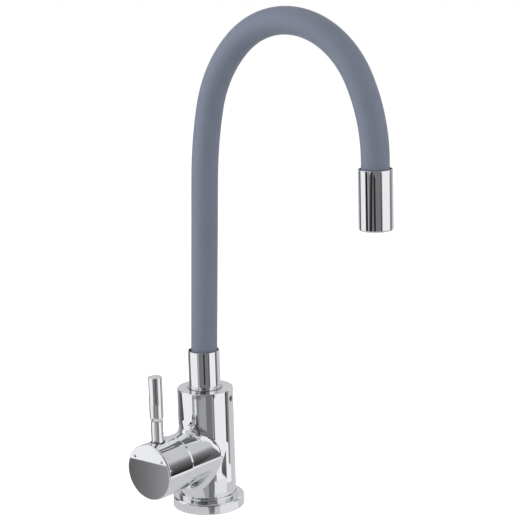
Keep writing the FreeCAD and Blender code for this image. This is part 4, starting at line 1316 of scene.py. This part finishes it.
@dataclass
class PinLever:
    """Upright pin: stem, grip and the black washer at its foot."""

    along: float = 58.0
    axis_height: float = 46.0
    seat: float = 21.2
    stem_radius: float = 4.85
    stem_top: float = 39.65
    stem_edge: float = 0.15
    neck_radius: float = 3.0
    thread_foot: float = 12.2
    grip_foot: float = 40.0
    grip_radius: float = 5.45
    grip_taper: float = 2.6
    taper_edge: float = 0.4
    grip_top: float = 75.4
    grip_edge: float = 0.6
    neck_short: float = 3.0
    bore_short: float = 2.7
    play: float = 0.05
    washer_radius: float = 5.8
    washer_height: float = 1.15
    washer_edge: float = 0.45
    washer_bore_edge: float = 0.2

    @property
    def frame(self) -> Frame:
        """Axes of the pin, standing on the cap's axis."""
        return Frame((0.0, -self.along, self.axis_height))

    def build(self) -> None:
        """Build the stem, the grip and the washer."""
        stem = Skin(self.frame)
        stem.turn(
            Outline(
                [
                    Corner(0.0, self.thread_foot),
                    Corner(self.neck_radius, self.thread_foot),
                    Corner(self.neck_radius, self.seat),
                    Corner(self.stem_radius, self.seat),
                    Corner(self.stem_radius, self.stem_top, self.stem_edge),
                    Corner(self.neck_radius, self.stem_top),
                    Corner(self.neck_radius, self.grip_top - self.neck_short),
                    Corner(0.0, self.grip_top - self.neck_short),
                ]
            )
        )
        finish_piece(stem, "pin_stem", Body.LEVER, ("lever_stem",), CHROME)
        grip = Skin(self.frame)
        bore = self.neck_radius + self.play
        grip.turn(
            Outline(
                [
                    Corner(bore, self.grip_foot),
                    Corner(self.stem_radius, self.grip_foot, self.stem_edge),
                    Corner(self.grip_radius, self.grip_foot + self.grip_taper, self.taper_edge),
                    Corner(self.grip_radius, self.grip_top, self.grip_edge),
                    Corner(0.0, self.grip_top),
                    Corner(0.0, self.grip_top - self.bore_short),
                    Corner(bore, self.grip_top - self.bore_short),
                ]
            )
        )
        finish_piece(grip, "pin_grip", Body.LEVER, ("lever_grip",), CHROME)
        washer = Skin(self.frame)
        inner = self.stem_radius + self.play
        top = self.seat + self.washer_height
        washer.turn(
            Outline(
                [
                    Corner(inner, self.seat),
                    Corner(self.washer_radius, self.seat),
                    Corner(self.washer_radius, top, self.washer_edge),
                    Corner(inner, top, self.washer_bore_edge),
                ]
            )
        )
        finish_piece(washer, "pin_washer", Body.LEVER, ("lever_washer",), RUBBER)


@dataclass
class Ferrules:
    """Chrome ferrules at both ends of the hose, and the aerator's housing."""

    radius: float = 12.75
    bore: float = 11.95
    rim: float = 0.3
    broken_edge: float = 0.2
    lower_foot: float = 98.9
    lower_top: float = 129.8
    outlet: tuple[float, float, float] = (171.5205, 0.0, 246.4103)
    outlet_length: float = 45.1
    outlet_edge: float = 1.5
    outlet_thread: float = 11.0
    outlet_step: float = 10.1
    housing_radius: float = 10.9
    housing_bore: float = 9.4
    housing_lip: float = 8.6
    housing_lip_edge: float = 0.25
    housing_foot: float = 0.5
    housing_top: float = 8.5
    housing_ledge: float = 2.0

    def build(self) -> None:
        """Build the two ferrules and the aerator's housing."""
        lower = Skin()
        lower.turn(
            Outline(
                [
                    Corner(self.bore, self.lower_foot),
                    Corner(self.radius, self.lower_foot, self.broken_edge),
                    Corner(self.radius, self.lower_top, self.rim),
                    Corner(self.bore, self.lower_top, self.rim),
                ]
            )
        )
        finish_piece(lower, "hose_foot_ferrule", Body.SPOUT, ("lower_ferrule",), CHROME)
        outlet = Skin(Frame(self.outlet))
        outlet.turn(
            Outline(
                [
                    Corner(self.outlet_thread, 0.0, self.broken_edge),
                    Corner(self.radius, 0.0, self.outlet_edge),
                    Corner(self.radius, self.outlet_length, self.rim),
                    Corner(self.bore, self.outlet_length, self.rim),
                    Corner(self.bore, self.outlet_step),
                    Corner(self.outlet_thread, self.outlet_step),
                ]
            )
        )
        finish_piece(outlet, "hose_end_ferrule", Body.SPOUT_END, ("outlet_ferrule",), CHROME)
        housing = Skin(Frame(self.outlet))
        housing.turn(
            Outline(
                [
                    Corner(self.housing_lip, self.housing_foot, self.housing_lip_edge),
                    Corner(self.housing_radius, self.housing_foot, self.rim),
                    Corner(self.housing_radius, self.housing_top),
                    Corner(self.housing_bore, self.housing_top),
                    Corner(self.housing_bore, self.housing_ledge),
                    Corner(self.housing_lip, self.housing_ledge, self.broken_edge),
                ]
            )
        )
        finish_piece(housing, "aerator_collar", Body.SPOUT_END, ("aerator_housing",), CHROME)


@dataclass
class Hose:
    """Silicone sleeve, steel core and water tube on one bent centreline."""

    foot: float = 104.3
    sleeve: tuple[float, float] = (10.5, 8.3)
    core: tuple[float, float] = (8.0, 7.3)
    tube: tuple[float, float] = (6.0, 4.3)
    barb: float = 11.1
    step: float = 2.5
    sides: int = 96
    end_rounding: float = 0.9
    bends: tuple[tuple[float, float], ...] = field(
        default=((60.0, 2.8), (0.0, 150.9), (316.0, 10.2), (99.8, 35.0), (71.8, 105.0), (127.3, 27.0))
    )
    lower_run: float = 11.5
    upper_run: float = 31.7
    blend_start: tuple[float, float, float] = (0.045, 0.0, 0.395)
    blend_end: tuple[float, float, float] = (0.142, 0.0, 0.395)

    def centreline(self, start_cut: float, end_cut: float) -> tuple[Array, Array]:
        """Points and headings of the bent line.

        The heading h is measured from straight up towards the outlet. On an arc
        of radius q it grows by length / q, and the points are the sums of
        (sin h, cos h) over each step, taken exactly for an arc as
        q (cos h0 - cos h, sin h - sin h0).

        Args:
            start_cut: Length left out at the lower end.
            end_cut: Length left out at the outlet's end.

        Returns:
            Points (x, z) and headings, one row for each step.
        """
        points = [np.array([[0.0, self.foot + start_cut]])]
        headings = [np.zeros(1)]
        table = [(0.0, self.lower_run - start_cut), *self.bends, (0.0, self.upper_run - end_cut)]
        for radius, amount in table:
            last, heading = points[-1][-1], headings[-1][-1]
            if radius:
                turn = math.radians(amount)
                count = max(LEAST_RUN_STEPS, math.ceil(radius * turn / self.step))
                angle = heading + np.linspace(0, turn, count + 1)[1:]
                move = np.stack(
                    [np.cos(heading) - np.cos(angle), np.sin(angle) - np.sin(heading)], axis=-1
                )
                points.append(last + move * radius)
                headings.append(angle)
            else:
                count = max(LEAST_RUN_STEPS, math.ceil(amount / self.step))
                share = np.linspace(0, amount, count + 1)[1:, None]
                points.append(last + share * np.array([[math.sin(heading), math.cos(heading)]]))
                headings.append(np.full(count, heading))
        return np.concatenate(points), np.concatenate(headings)

    def layer(
        self, name: str, size: tuple[float, float], cuts: tuple[float, float], finish: Finish
    ) -> None:
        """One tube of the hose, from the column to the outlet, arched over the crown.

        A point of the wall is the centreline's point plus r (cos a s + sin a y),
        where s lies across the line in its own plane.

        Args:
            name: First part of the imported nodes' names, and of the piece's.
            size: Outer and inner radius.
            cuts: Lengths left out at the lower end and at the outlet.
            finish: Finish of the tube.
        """
        line, heading = self.centreline(*cuts)
        rounding = min(self.end_rounding, (size[0] - size[1]) / 2)
        side = np.stack([np.cos(heading), np.zeros_like(heading), -np.sin(heading)], axis=-1)
        along = np.stack([np.sin(heading), np.zeros_like(heading), np.cos(heading)], axis=-1)
        centre = np.stack([line[:, 0], np.zeros(len(line)), line[:, 1]], axis=-1)
        angle = np.linspace(0, 2 * math.pi, self.sides + 1)
        across = (
            np.cos(angle)[None, :, None] * side[:, None]
            + np.sin(angle)[None, :, None] * np.array([0.0, 1.0, 0.0])
        )
        skin = Skin()
        body = slice(1, -1)
        for radius, facing in ((size[0], 1.0), (size[1], -1.0)):
            skin.add(centre[body, None] + across[body] * radius, across[body] * facing)
        for end, inner_row, outward in ((0, 1, -1.0), (-1, -2, 1.0)):
            turn = np.linspace(0, math.pi / 2, ROUNDING_STEPS + 1)[:, None, None]
            tip = centre[end] - centre[inner_row]
            length = float(np.linalg.norm(tip))
            ahead = along[end] * outward
            outer_ring = across[end][None]
            base = centre[end] - ahead * rounding
            round_normals = np.cos(turn) * outer_ring + np.sin(turn) * ahead
            round_points = base + outer_ring * (size[0] - rounding) + rounding * round_normals
            if length > rounding:
                start = centre[inner_row] + across[inner_row] * size[0]
                skin.add(
                    np.stack([start, round_points[0]]),
                    np.stack([across[inner_row], across[end]]),
                )
            skin.add(round_points, round_normals)
            bore_rim = centre[end] + across[end] * size[1]
            skin.add_flat(round_points[-1], bore_rim, ahead)
            bore = np.stack([bore_rim, centre[inner_row] + across[inner_row] * size[1]])
            skin.add(bore, -np.stack([across[end], across[inner_row]]))
        piece = skin.build(name + "_whole")
        finish.dress(piece)
        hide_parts(name + "_lower", name + "_upper")
        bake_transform(piece)
        LOG.info("%s: %d faces, bends at the crown", piece.name, len(piece.data.polygons))

    def build(self) -> None:
        """Build the three layers."""
        self.layer("hose_sleeve", self.sleeve, (0.0, 0.0), SILICONE)
        self.layer("hose_core", self.core, (self.barb, self.barb), STEEL)
        self.layer("hose_tube", self.tube, (0.0, 0.0), WATER_TUBE)


class Tone(Enum):
    """Neutral tones of the glowing cards that paint reflections into the chrome."""

    WHITE = "#F2F2F2"
    PALE = "#D4D4D4"
    LIGHT = "#A8A8A8"
    GREY = "#7C7C7C"
    DARK = "#505050"
    BLACK = "#242424"


@dataclass(frozen=True)
class Stand:
    """Spot that cards are placed round, and how far from it they are, in millimetres."""

    spot: tuple[float, float, float] = (0.0, 0.0, 85.0)
    distance: float = 3200.0


@dataclass(frozen=True)
class Card:
    """A glowing card, a painted reflection that only reflections see, on a sphere round its stand's spot.

    Its sides are in degrees to the right of the camera's side, and its lower
    and upper edge in degrees above level: one number where the edge is level,
    or one for each side. The tone is the one at the lower left, and blends
    into the others towards the right and the top.
    """

    name: str
    sides: tuple[float, float]
    low: float | tuple[float, float]
    high: float | tuple[float, float]
    tone: Tone
    right_tone: Tone | None = None
    top_tone: Tone | None = None
    stand: Stand = Stand()

    def grid(self, zero: float) -> tuple[Array, Array]:
        """Points of the card with their share across and upward.

        At shares s and t of the way from left to right and from low to high,
        the elevation e is low(s) (1 - t) + high(s) t. With azimuth a, the point
        is the spot plus the distance times (cos e cos a, cos e sin a, sin e).

        Args:
            zero: Azimuth of the camera's side in degrees.

        Returns:
            Points in millimetres, and the two shares along the last axis.
        """
        left, right = self.sides
        wide = 2 + round((right - left) / CARD_STEP_DEGREES)
        across, upward = np.meshgrid(np.linspace(0, 1, wide), np.linspace(0, 1, CARD_ROWS))
        azimuth = np.radians(zero + left + (right - left) * across)
        low, high = self.edge(self.low, across), self.edge(self.high, across)
        rise = np.radians(low * (1 - upward) + high * upward)
        reach, height = self.stand.distance * np.cos(rise), self.stand.distance * np.sin(rise)
        outward = np.stack([reach * np.cos(azimuth), reach * np.sin(azimuth), height], axis=-1)
        points = np.array(self.stand.spot) + outward
        return points, np.stack([across, upward], axis=-1)

    def edge(self, height: float | tuple[float, float], across: Array) -> Array:
        """Elevation of an edge at share s across: first + (last - first) s."""
        first, last = height if isinstance(height, tuple) else (height, height)
        return first + (last - first) * across


NEAR = 700.0
# Named after how far off the cards are and where they are, or which part shows them
GROUND = Stand(distance=3600.0)
FAR_LOW = Stand(distance=3300.0)
FAR_COLLAR = Stand(distance=3100.0)
FAR_HIGH = Stand(distance=3000.0)
NEAR_LEFT = Stand((-15.0, -10.0, 80.0), NEAR)
NEAR_TOP = Stand((0.0, 0.0, 100.0), NEAR)
LESS_NEAR_TOP = Stand((0.0, 0.0, 100.0), 800.0)
NEAR_FERRULE = Stand((0.0, 0.0, 115.0), 690.0)
NEAR_FILLET = Stand((0.0, -20.0, 75.0), NEAR)
NEARER_FILLET = Stand((0.0, -20.0, 75.0), 650.0)
NEAR_FILLET_RIGHT = Stand((18.5, -13.0, 59.0), NEAR)
NEAR_BOSS = Stand((21.0, -36.0, 46.0), NEAR)
# The camera's mirror image in the cap's face, 1.4 m behind it
BEHIND_FACE = Stand((909.4, 884.3, 509.0), 1516.0)
# Painted reflections: glowing cards that only reflections see give the chrome its light and dark bands
CARDS = (
    # Painted reflections of wide grounds: pale deck, pale ceiling
    Card("card_deck", (-180, 180), -88, -20.6, Tone.PALE, stand=GROUND),
    Card("card_ceiling", (-180, 180), 60, 88, Tone.PALE, stand=GROUND),
    # Behind the tap, left
    Card("card_back_left", (-180, -150), -24, 22, Tone.PALE, Tone.LIGHT),
    Card("card_back_left_high", (-180, -118), 22, 36, Tone.GREY),
    Card("card_left_dark", (-150, -118), -21.5, 28, Tone.LIGHT, Tone.DARK, stand=NEAR_LEFT),
    Card("card_left_slope", (-118, -94), -21.5, (-14, -20.4), Tone.DARK, stand=NEAR_LEFT),
    # Painted dark reflection in the lower part of the cap's face: a small dark card, only 0.1 m from the
    # cap
    Card(
        "card_face_dark", (-86.4, -84.3), -20.6, (-18.7, -19.28), Tone.DARK, Tone.LIGHT, stand=BEHIND_FACE
    ),
    # Front, as the column shows it
    Card("card_front_line", (-57, -50), -20.6, -16.65, Tone.GREY),
    Card("card_front_a", (-38.5, -24), -20.6, -16.65, Tone.GREY, Tone.LIGHT),
    Card("card_front_b", (-24, 1), (-20.9, -22), -16.65, Tone.LIGHT),
    Card("card_front_c", (1, 9), -22, -16.65, Tone.GREY),
    Card("card_front_d", (9, 16), -22, -16.65, Tone.GREY),
    Card("card_front_e", (16, 26), (-22, -20.8), -16.65, Tone.GREY),
    Card("card_front_f", (26, 30), -20.6, -16.65, Tone.LIGHT),
    Card("card_front_g", (30, 35), -20.6, -16.65, Tone.GREY),
    # Front, as the ring's side shows it
    Card("card_ring_grey", (8, 22), -24, -22.05, Tone.LIGHT, stand=FAR_LOW),
    Card("card_ring_dark", (22, 35), -24, -22.05, Tone.GREY, stand=FAR_LOW),
    Card("card_ring_white", (35, 110), -24, -21.2, Tone.WHITE, stand=FAR_LOW),
    # Front, as the ferrules and the roundings show it
    Card("card_upper_front", (-32, 33), -16.65, 40, Tone.GREY),
    Card("card_upper_edge", (-47, -38), -16.95, 6, Tone.LIGHT, stand=NEAR_TOP),
    Card("card_upper_grey", (-38, -18), -16.95, 6, Tone.GREY, stand=NEAR_TOP),
    Card("card_upper_line", (32, 36), -16.9, 6, Tone.BLACK, stand=LESS_NEAR_TOP),
    Card("card_upper_light", (36, 40), -16.9, 6, Tone.LIGHT, stand=LESS_NEAR_TOP),
    Card("card_black_line", (-5.5, 4), -17.2, -13, Tone.BLACK, stand=NEAR_FERRULE),
    Card("card_outlet_line", (-5.5, 4), -1, 6, Tone.BLACK, stand=NEAR_FERRULE),
    # Painted dark reflections in the fillet under the boss: black and dark cards close by draw its
    # crescent and line, a grey panel and dark cards its right side
    Card("card_crescent", (-66, -40), -10.3, (14, 4), Tone.BLACK, stand=NEAR_FILLET),
    Card("card_rod", (-38, 36), (-11, 42), (0, 50), Tone.BLACK, Tone.DARK, stand=NEARER_FILLET),
    Card("card_fillet_right", (36, 59), -9.6, (3, 1), Tone.GREY, stand=NEAR_FILLET_RIGHT),
    Card("card_fillet_low", (36, 62), -14.6, (-9.2, -11), Tone.DARK),
    Card("card_fillet_edge", (62, 95), -14.6, -11, Tone.DARK),
    Card("card_fillet_high", (66, 92), (15, 10), 36, Tone.PALE),
    # Above the front
    Card("card_high_front", (5, 54), 40, 60, Tone.GREY),
    Card("card_high_left", (-40, 5), 41, 50, Tone.GREY),
    Card("card_high_dark", (-30, 8), 53, 68, Tone.DARK, stand=FAR_HIGH),
    Card("card_high_right", (74, 92), 48, 60, Tone.GREY),
    # Right: a panel that is dark below and pale above
    Card("card_right_line", (90.2, 94.5), -17, 12, Tone.BLACK, top_tone=Tone.GREY, stand=NEAR_BOSS),
    Card("card_right_panel", (94.5, 101.5), -17, 12, Tone.DARK, Tone.GREY, Tone.GREY, NEAR_BOSS),
    Card("card_right_middle", (91.4, 111), 12, 25, Tone.GREY, top_tone=Tone.PALE, stand=NEAR_BOSS),
    Card("card_right_high", (91.4, 128), 25, 60, Tone.PALE, stand=NEAR_BOSS),
    Card("card_right_grey", (101.5, 113), -19, 12, Tone.GREY, Tone.LIGHT, stand=NEAR_BOSS),
    Card("card_right_low", (59, 84), (-20.25, -20.55), (-19.85, -19.2), Tone.DARK, top_tone=Tone.GREY),
    # Painted shade in the reflections of the collar and the column's foot: dark cards for the shaded deck
    # and the collar's top, a white one beside them
    Card("card_collar", (-33, 31), -21.66, -21.42, Tone.DARK, stand=FAR_COLLAR),
    Card("card_foot_white", (26, 82), -21.15, -20.5, Tone.WHITE, stand=FAR_LOW),
    Card("card_collar_top_painted_shade", (-75, -7), 17, 23, Tone.DARK, stand=FAR_COLLAR),
    # Behind the tap, right
    Card("card_back_right", (113, 180), -24, 26, Tone.PALE),
    Card("card_back_dark", (128, 156), 36, 60, Tone.GREY),
    Card("card_back_light", (156, 180), 26, 60, Tone.WHITE, Tone.PALE),
)


@dataclass(frozen=True)
class Lamp:
    """Soft rectangular lamp.

    It stands at an angle to the right of the camera's side and an elevation,
    both in degrees. Its distance from the tap's middle and its size are in
    metres.
    """

    name: str
    angle: float
    elevation: float
    distance: float
    size: tuple[float, float]
    watts: float


LAMPS = (
    Lamp("lamp_left", -78.0, 12.0, 1.7, (1.2, 1.8), 25.0),
    Lamp("lamp_right", 66.0, 8.0, 1.7, (0.8, 1.6), 14.0),
    Lamp("lamp_top", 20.0, 70.0, 1.8, (1.4, 1.4), 6.0),
)


@dataclass
class Studio:
    """Floor, light, glowing cards that paint reflections, and the camera."""

    floor_radius: float = 3.0
    floor_colour: str = "#EFEFEF"
    ambient_colour: str = "#FCFDFF"
    ambient: float = 0.47
    floor_glow: float = 0.62
    camera_azimuth: float = -48.37
    camera_distance: float = 1.369
    camera_height: float = 0.509
    heading: float = 129.61
    pitch: float = 12.7
    roll: float = -1.59
    lens: float = 121.9
    sensor: float = 36.0
    floor_middle: float = 0.3
    tap_middle: tuple[float, float, float] = (0.08, 0.0, 0.2)

    def build(self) -> None:
        """Build the whole studio."""
        self.build_camera()
        self.build_world()
        self.build_floor()
        for card in CARDS:
            self.build_card(card)
        for lamp in LAMPS:
            self.build_lamp(lamp)
        bpy.context.scene.view_settings.view_transform = "Standard"

    def build_camera(self) -> None:
        """Camera at the photograph's place, with its lens and its slight roll.

        For heading h and pitch p it looks along (cos h cos p, sin h cos p,
        -sin p), and is then rolled about that line.
        """
        azimuth, heading = math.radians(self.camera_azimuth), math.radians(self.heading)
        pitch, roll = math.radians(self.pitch), math.radians(self.roll)
        forward = np.array(
            [
                math.cos(heading) * math.cos(pitch),
                math.sin(heading) * math.cos(pitch),
                -math.sin(pitch),
            ]
        )
        right = unit(np.cross(forward, [0.0, 0.0, 1.0]))
        above = np.cross(right, forward)
        rolled = right * math.cos(roll) + above * math.sin(roll)
        above = above * math.cos(roll) - right * math.sin(roll)
        spot = np.array(
            [
                self.camera_distance * math.cos(azimuth),
                self.camera_distance * math.sin(azimuth),
                self.camera_height,
            ]
        )
        data = bpy.data.cameras.new("photo_camera")
        data.lens = self.lens
        data.sensor_width = self.sensor
        camera = bpy.data.objects.new("photo_camera", data)
        camera.matrix_world = self.place(rolled, above, -forward, spot)
        bpy.context.scene.collection.objects.link(camera)
        bpy.context.scene.camera = camera

    def place(self, right: Array, above: Array, back: Array, middle: Array) -> Matrix:
        """Matrix of an object that stands at a point and faces a given way.

        Args:
            right: Direction of its X axis.
            above: Direction of its Y axis.
            back: Direction of its Z axis.
            middle: Its place in metres.

        Returns:
            Matrix with these four as its columns.
        """
        placed = np.eye(4)
        placed[:3] = np.stack([right, above, back, middle], axis=-1)
        return Matrix(placed.tolist())

    def bearing(self, angle: float, elevation: float) -> Array:
        """Direction (cos t cos e, sin t cos e, sin e) for azimuth t and elevation e.

        Args:
            angle: Degrees to the right of the camera's side.
            elevation: Degrees above level.

        Returns:
            Vector of length 1.
        """
        turn = math.radians(self.camera_azimuth + angle)
        rise = math.radians(elevation)
        return np.array(
            [math.cos(turn) * math.cos(rise), math.sin(turn) * math.cos(rise), math.sin(rise)]
        )

    def build_world(self) -> None:
        """White surroundings for camera and reflections, a softer level as light."""
        world = bpy.data.worlds.new("white_tent")
        tree = empty_tree(world)
        path = add_node(tree, "LightPath")
        seen = add_node(
            tree,
            "Math",
            {"operation": "MAXIMUM"},
            {0: path.outputs["Is Camera Ray"], 1: path.outputs["Is Glossy Ray"]},
        )
        seen = add_node(
            tree,
            "Math",
            {"operation": "MAXIMUM"},
            {0: seen.outputs[0], 1: path.outputs["Is Transmission Ray"]},
        )
        settings = {"Color": linear(self.ambient_colour), "Strength": self.ambient}
        light = add_node(tree, "Background", settings)
        white = add_node(tree, "Background", {"Color": (1.0, 1.0, 1.0, 1.0), "Strength": 1.0})
        mixed = add_node(
            tree, "MixShader", None, {0: seen.outputs[0], 1: light.outputs[0], 2: white.outputs[0]}
        )
        add_node(tree, "OutputWorld", None, {"Surface": mixed.outputs[0]})
        bpy.context.scene.world = world

    def build_floor(self) -> None:
        """Pale round floor that keeps a faint shadow and fades into the white.

        The point at radius r and angle a is (r cos a, r sin a, 0).
        """
        angle = np.linspace(0, 2 * math.pi, FLOOR_SIDES + 1)
        radius = np.array([0.0, self.floor_middle, self.floor_radius])
        grid = np.stack(
            [np.outer(radius, np.cos(angle)), np.outer(radius, np.sin(angle))], axis=-1
        )
        grid = np.concatenate([grid, np.zeros((*grid.shape[:2], 1))], axis=-1) / METRES
        skin = Skin()
        skin.add(grid, np.broadcast_to(np.array([0.0, 0.0, 1.0]), grid.shape))
        floor = skin.build("pale_floor")
        material = bpy.data.materials.new("pale_floor")
        tree = empty_tree(material)
        path = add_node(tree, "LightPath")
        matt = add_node(tree, "BsdfDiffuse", {"Color": linear(self.floor_colour)})
        glow = add_node(tree, "Emission", {"Color": (1.0, 1.0, 1.0, 1.0), "Strength": self.floor_glow})
        both = add_node(tree, "AddShader", None, {0: matt.outputs[0], 1: glow.outputs[0]})
        mixed = add_node(
            tree,
            "MixShader",
            None,
            {0: path.outputs["Is Camera Ray"], 1: matt.outputs[0], 2: both.outputs[0]},
        )
        add_node(tree, "OutputMaterial", None, {"Surface": mixed.outputs[0]})
        floor.data.materials.append(material)
        floor.visible_glossy = False
        floor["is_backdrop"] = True

    def build_card(self, card: Card) -> None:
        """Build one glowing card, a painted reflection, with a tone at each of its points.

        At shares s and t it is base + (right - base) s + (top - base) t.

        Args:
            card: Its edges and tones.
        """
        points, shares = card.grid(self.camera_azimuth)
        rows, columns = points.shape[:2]
        number = np.arange(rows * columns).reshape(rows, columns)
        quads = np.stack(
            [number[:-1, :-1], number[1:, :-1], number[1:, 1:], number[:-1, 1:]], axis=-1
        )
        mesh = bpy.data.meshes.new(card.name)
        places = (points * METRES).reshape(-1, 3).tolist()
        mesh.from_pydata(places, [], quads.reshape(-1, 4).tolist())
        base = display_tone(card.tone.value)
        right = display_tone((card.right_tone or card.tone).value) - base
        top = display_tone((card.top_tone or card.tone).value) - base
        tones = linear(np.clip(base + right * shares[..., :1] + top * shares[..., 1:], 0, 1))
        layer = mesh.color_attributes.new("tone", "FLOAT_COLOR", "POINT")
        layer.data.foreach_set("color", tones.astype(np.float32).ravel())
        mesh.materials.append(self.painted_reflection_material())
        piece = bpy.data.objects.new(card.name, mesh)
        bpy.context.scene.collection.objects.link(piece)
        # Painted reflection: the card shows only in reflections, lights nothing and casts no shadow
        piece.visible_camera = False
        piece.visible_diffuse = False
        piece.visible_shadow = False
        piece.visible_transmission = False
        piece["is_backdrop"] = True

    def painted_reflection_material(self) -> bpy.types.Material:
        """Card that glows with its tone whatever lights it, to paint reflections.

        Returns:
            The one material of all cards.
        """
        found = bpy.data.materials.get("painted_reflection_card")
        if found:
            return found
        made = bpy.data.materials.new("painted_reflection_card")
        tree = empty_tree(made)
        tone = add_node(tree, "Attribute", {"attribute_name": "tone"})
        glow = add_node(tree, "Emission", {"Strength": 1.0}, {"Color": tone.outputs["Color"]})
        add_node(tree, "OutputMaterial", None, {"Surface": glow.outputs[0]})
        return made

    def build_lamp(self, lamp: Lamp) -> None:
        """Build a soft lamp that faces the tap and shows in no reflection.

        Args:
            lamp: Its place, size and power.
        """
        data = bpy.data.lights.new(lamp.name, "AREA")
        data.shape = "RECTANGLE"
        data.size, data.size_y = lamp.size
        data.energy = lamp.watts
        piece = bpy.data.objects.new(lamp.name, data)
        outward = self.bearing(lamp.angle, lamp.elevation)
        right = unit(np.cross([0.0, 0.0, 1.0], outward))
        above = np.cross(outward, right)
        spot = np.array(self.tap_middle) + outward * lamp.distance
        piece.matrix_world = self.place(right, above, outward, spot)
        piece.visible_glossy = False
        piece.visible_camera = False
        bpy.context.scene.collection.objects.link(piece)


def dress_nodes(frame: dict) -> None:
    """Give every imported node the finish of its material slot.
    """
    for part in frame["record"]["subparts"]:
        finish = NODE_FINISHES.get(part["node"], FINISHES[Slot(part["material_slot"])])
        finish.dress(frame["nodes"][part["node"]])


def corners() -> list[list[float]]:
    """Lowest and highest corner of what is shown, as plain lists."""
    return [list(corner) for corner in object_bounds()]


def main() -> None:
    """Load the frame and build every sub-assembly."""
    logging.basicConfig(level=logging.INFO, format="%(name)s: %(message)s")
    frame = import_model()
    dress_nodes(frame)
    Studio().build()
    Column().build()
    BaseRing().build()
    LeverCap().build()
    PinLever().build()
    Ferrules().build()
    Hose().build()


if __name__ == "__main__":
    main()
